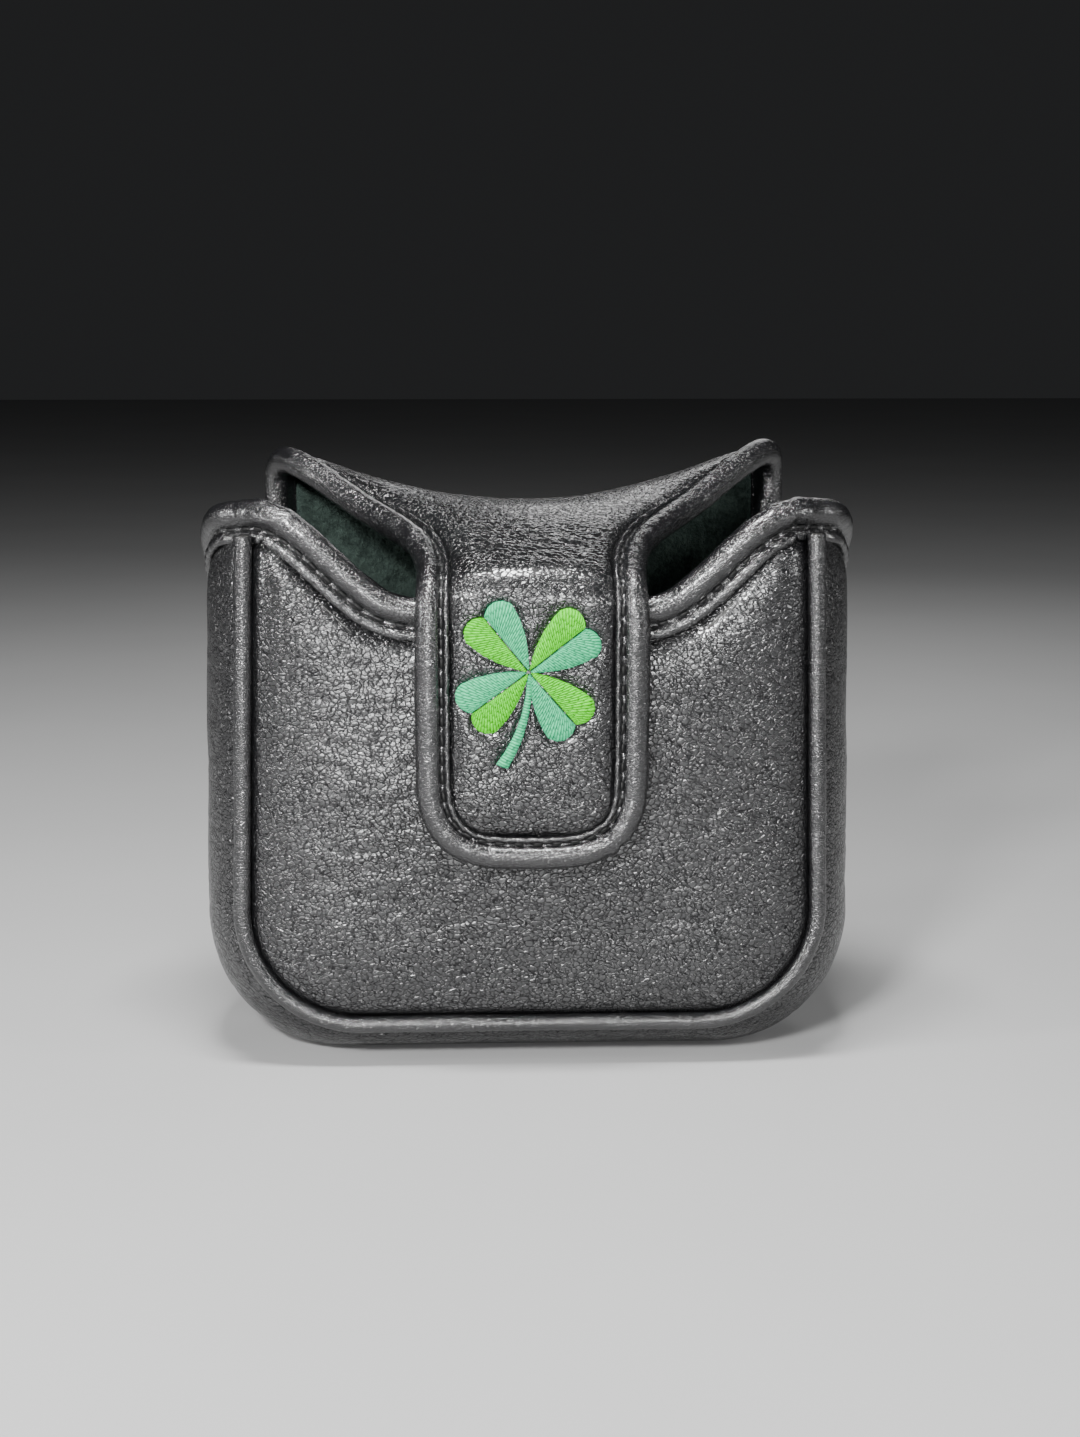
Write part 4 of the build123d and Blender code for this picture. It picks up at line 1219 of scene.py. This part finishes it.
def satin(inner_edge, outer_edge, row_pitch, stitch, height, seed, turn=0.0):
    """Satin stitch between two edges of a shape: each row of thread is a ridge from one to the other.
    Gives points, quads and, at each point, the thread's random tone with painted shade in the gaps between
    rows and at the needle holes."""
    length = run_along(outer_edge)[-1]
    count = int(length / row_pitch)
    t = np.linspace(0, 1, count * 5 + 1)
    s = np.linspace(0, 1, 34)[None, :]
    inside, outside = along(inner_edge, t), along(outer_edge, t)
    row = t[:, None] * count
    which = np.floor(row)
    width = np.linalg.norm(outside - inside, axis=1)[:, None]
    ridge = np.sqrt(np.maximum(1 - (2 * (row - which) - 1) ** 2, 0.0))
    zero = np.zeros_like(which, int)
    uneven = lattice(which.astype(int), zero, zero, seed)
    to_edge = np.minimum(s, 1 - s) * width
    dome = np.sqrt(np.clip(to_edge / np.minimum(1.5, 0.5 * width + 1e-6), 0, 1))
    ends = np.clip(np.minimum(t, 1 - t)[:, None] * length / 0.5, 0, 1) ** 0.5
    place = (s * width / stitch + (which * 0.37 + 0.15 * uneven) % 1.0) % 1.0
    needle = np.exp(-(((place - 0.5) * stitch / 0.16) ** 2)) * (to_edge > 0.5)
    top = height * (0.30 + 0.70 * dome * ends) + 0.24 * ridge * ends - 0.20 * needle + 0.03 * uneven
    top = np.where(to_edge < 0.02, 0.02, top) * np.clip(ends * 1.2, 0, 1)
    flat = inside[:, None] * (1 - s[..., None]) + outside[:, None] * s[..., None]
    direction = (outside - inside) / np.maximum(width, 1e-6)
    flat = flat + direction[:, None] * (0.06 * uneven * (s > 0.5))[..., None]
    ground, normal = on_tongue(*clover_place(flat, turn))
    # painted shade: darker in the gaps between rows of thread and at the needle holes, times a random tone
    # for each row
    gap = np.clip(1 - ridge * 1.6, 0, 1)
    tone_with_painted_shade = np.clip(1 - 0.75 * gap - 0.8 * needle, 0, 1) * (0.88 + 0.12 * uneven)
    face, under = ground + normal * (top + 0.03)[..., None], ground - normal * 0.12
    face, under, tone_with_painted_shade = facing(normal, face, under, tone_with_painted_shade)
    return *shell(face, under), np.tile(tone_with_painted_shade.ravel(), 2)


for colour_name, side, colour in (("lime", 1, lime), ("mint", -1, mint)):
    leaves = [satin(*leaf_edges(side), 0.60, 1.7, 0.55, 200 + k, turn) for k, turn in enumerate(LEAF_TURNS)]
    points, faces, tones_with_painted_shade = zip(*leaves)
    firsts = np.cumsum([0] + [len(part) for part in points[:-1]])
    faces = [part + first for part, first in zip(faces, firsts)]
    piece(
        f"clover_{colour_name}_stitches", (np.concatenate(points), np.concatenate(faces)), colour,
        "flap_tongue", [f"clover_{colour_name}_thread"],
        tones_with_painted_shade=np.concatenate(tones_with_painted_shade),
    )
*shape, tones_with_painted_shade = satin(stem_left, stem_right, 0.55, 3.0, 0.45, 222)
piece("clover_stem_stitches", shape, mint, "flap_tongue", ["clover_stem_thread"], tones_with_painted_shade=tones_with_painted_shade)

# ---- the CAD nodes that stay ----
for name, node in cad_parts.items():
    node.data.materials.clear()
    node.data.materials.append(
        foam if name.endswith("foam") else magnet if name.endswith("magnets") else cord_fibre
    )

# ---- stage ----
FLOOR_REACH = 3
floor_mesh = bpy.data.meshes.new("floor")
floor_corners = [(x * FLOOR_REACH, y * FLOOR_REACH, 0) for x, y in ((-1, -1), (1, -1), (1, 1), (-1, 1))]
floor_mesh.from_pydata(floor_corners, [], [(0, 1, 2, 3)])
floor_mesh.materials.append(floor_material())
floor = bpy.data.objects.new("floor", floor_mesh)
bpy.context.scene.collection.objects.link(floor)

world = bpy.data.worlds.new("studio")
world.use_nodes = True
world.node_tree.nodes["Background"].inputs["Color"].default_value = (0.80, 0.82, 0.85, 1.0)
world.node_tree.nodes["Background"].inputs["Strength"].default_value = 0.022
bpy.context.scene.world = world
for name, place, aim_z, size, power in (
    ("overhead", (-0.02, -0.12, 0.52), 0.06, (0.16, 0.08), 5.0),
    ("front_soft", (-0.16, -0.46, 0.32), 0.06, (0.08, 0.05), 5.4),
    ("front_low", (-0.10, -0.62, 0.05), 0.06, (0.18, 0.07), 1.7),
    ("front_mid", (0.10, -0.60, 0.19), 0.08, (0.12, 0.07), 1.6),
    ("left_rim", (-0.50, -0.20, 0.22), 0.06, (0.06, 0.26), 2.2),
    ("right_rim", (0.50, -0.20, 0.22), 0.06, (0.06, 0.26), 1.1),
    ("back_soft", (0.12, 0.55, 0.40), 0.06, (0.24, 0.14), 0.6),
):
    light = bpy.data.lights.new(name, "AREA")
    light.shape = "RECTANGLE"
    light.size, light.size_y = size
    light.energy = power
    aimed(name, light, place, np.array([0, 0, aim_z]) - np.array(place))
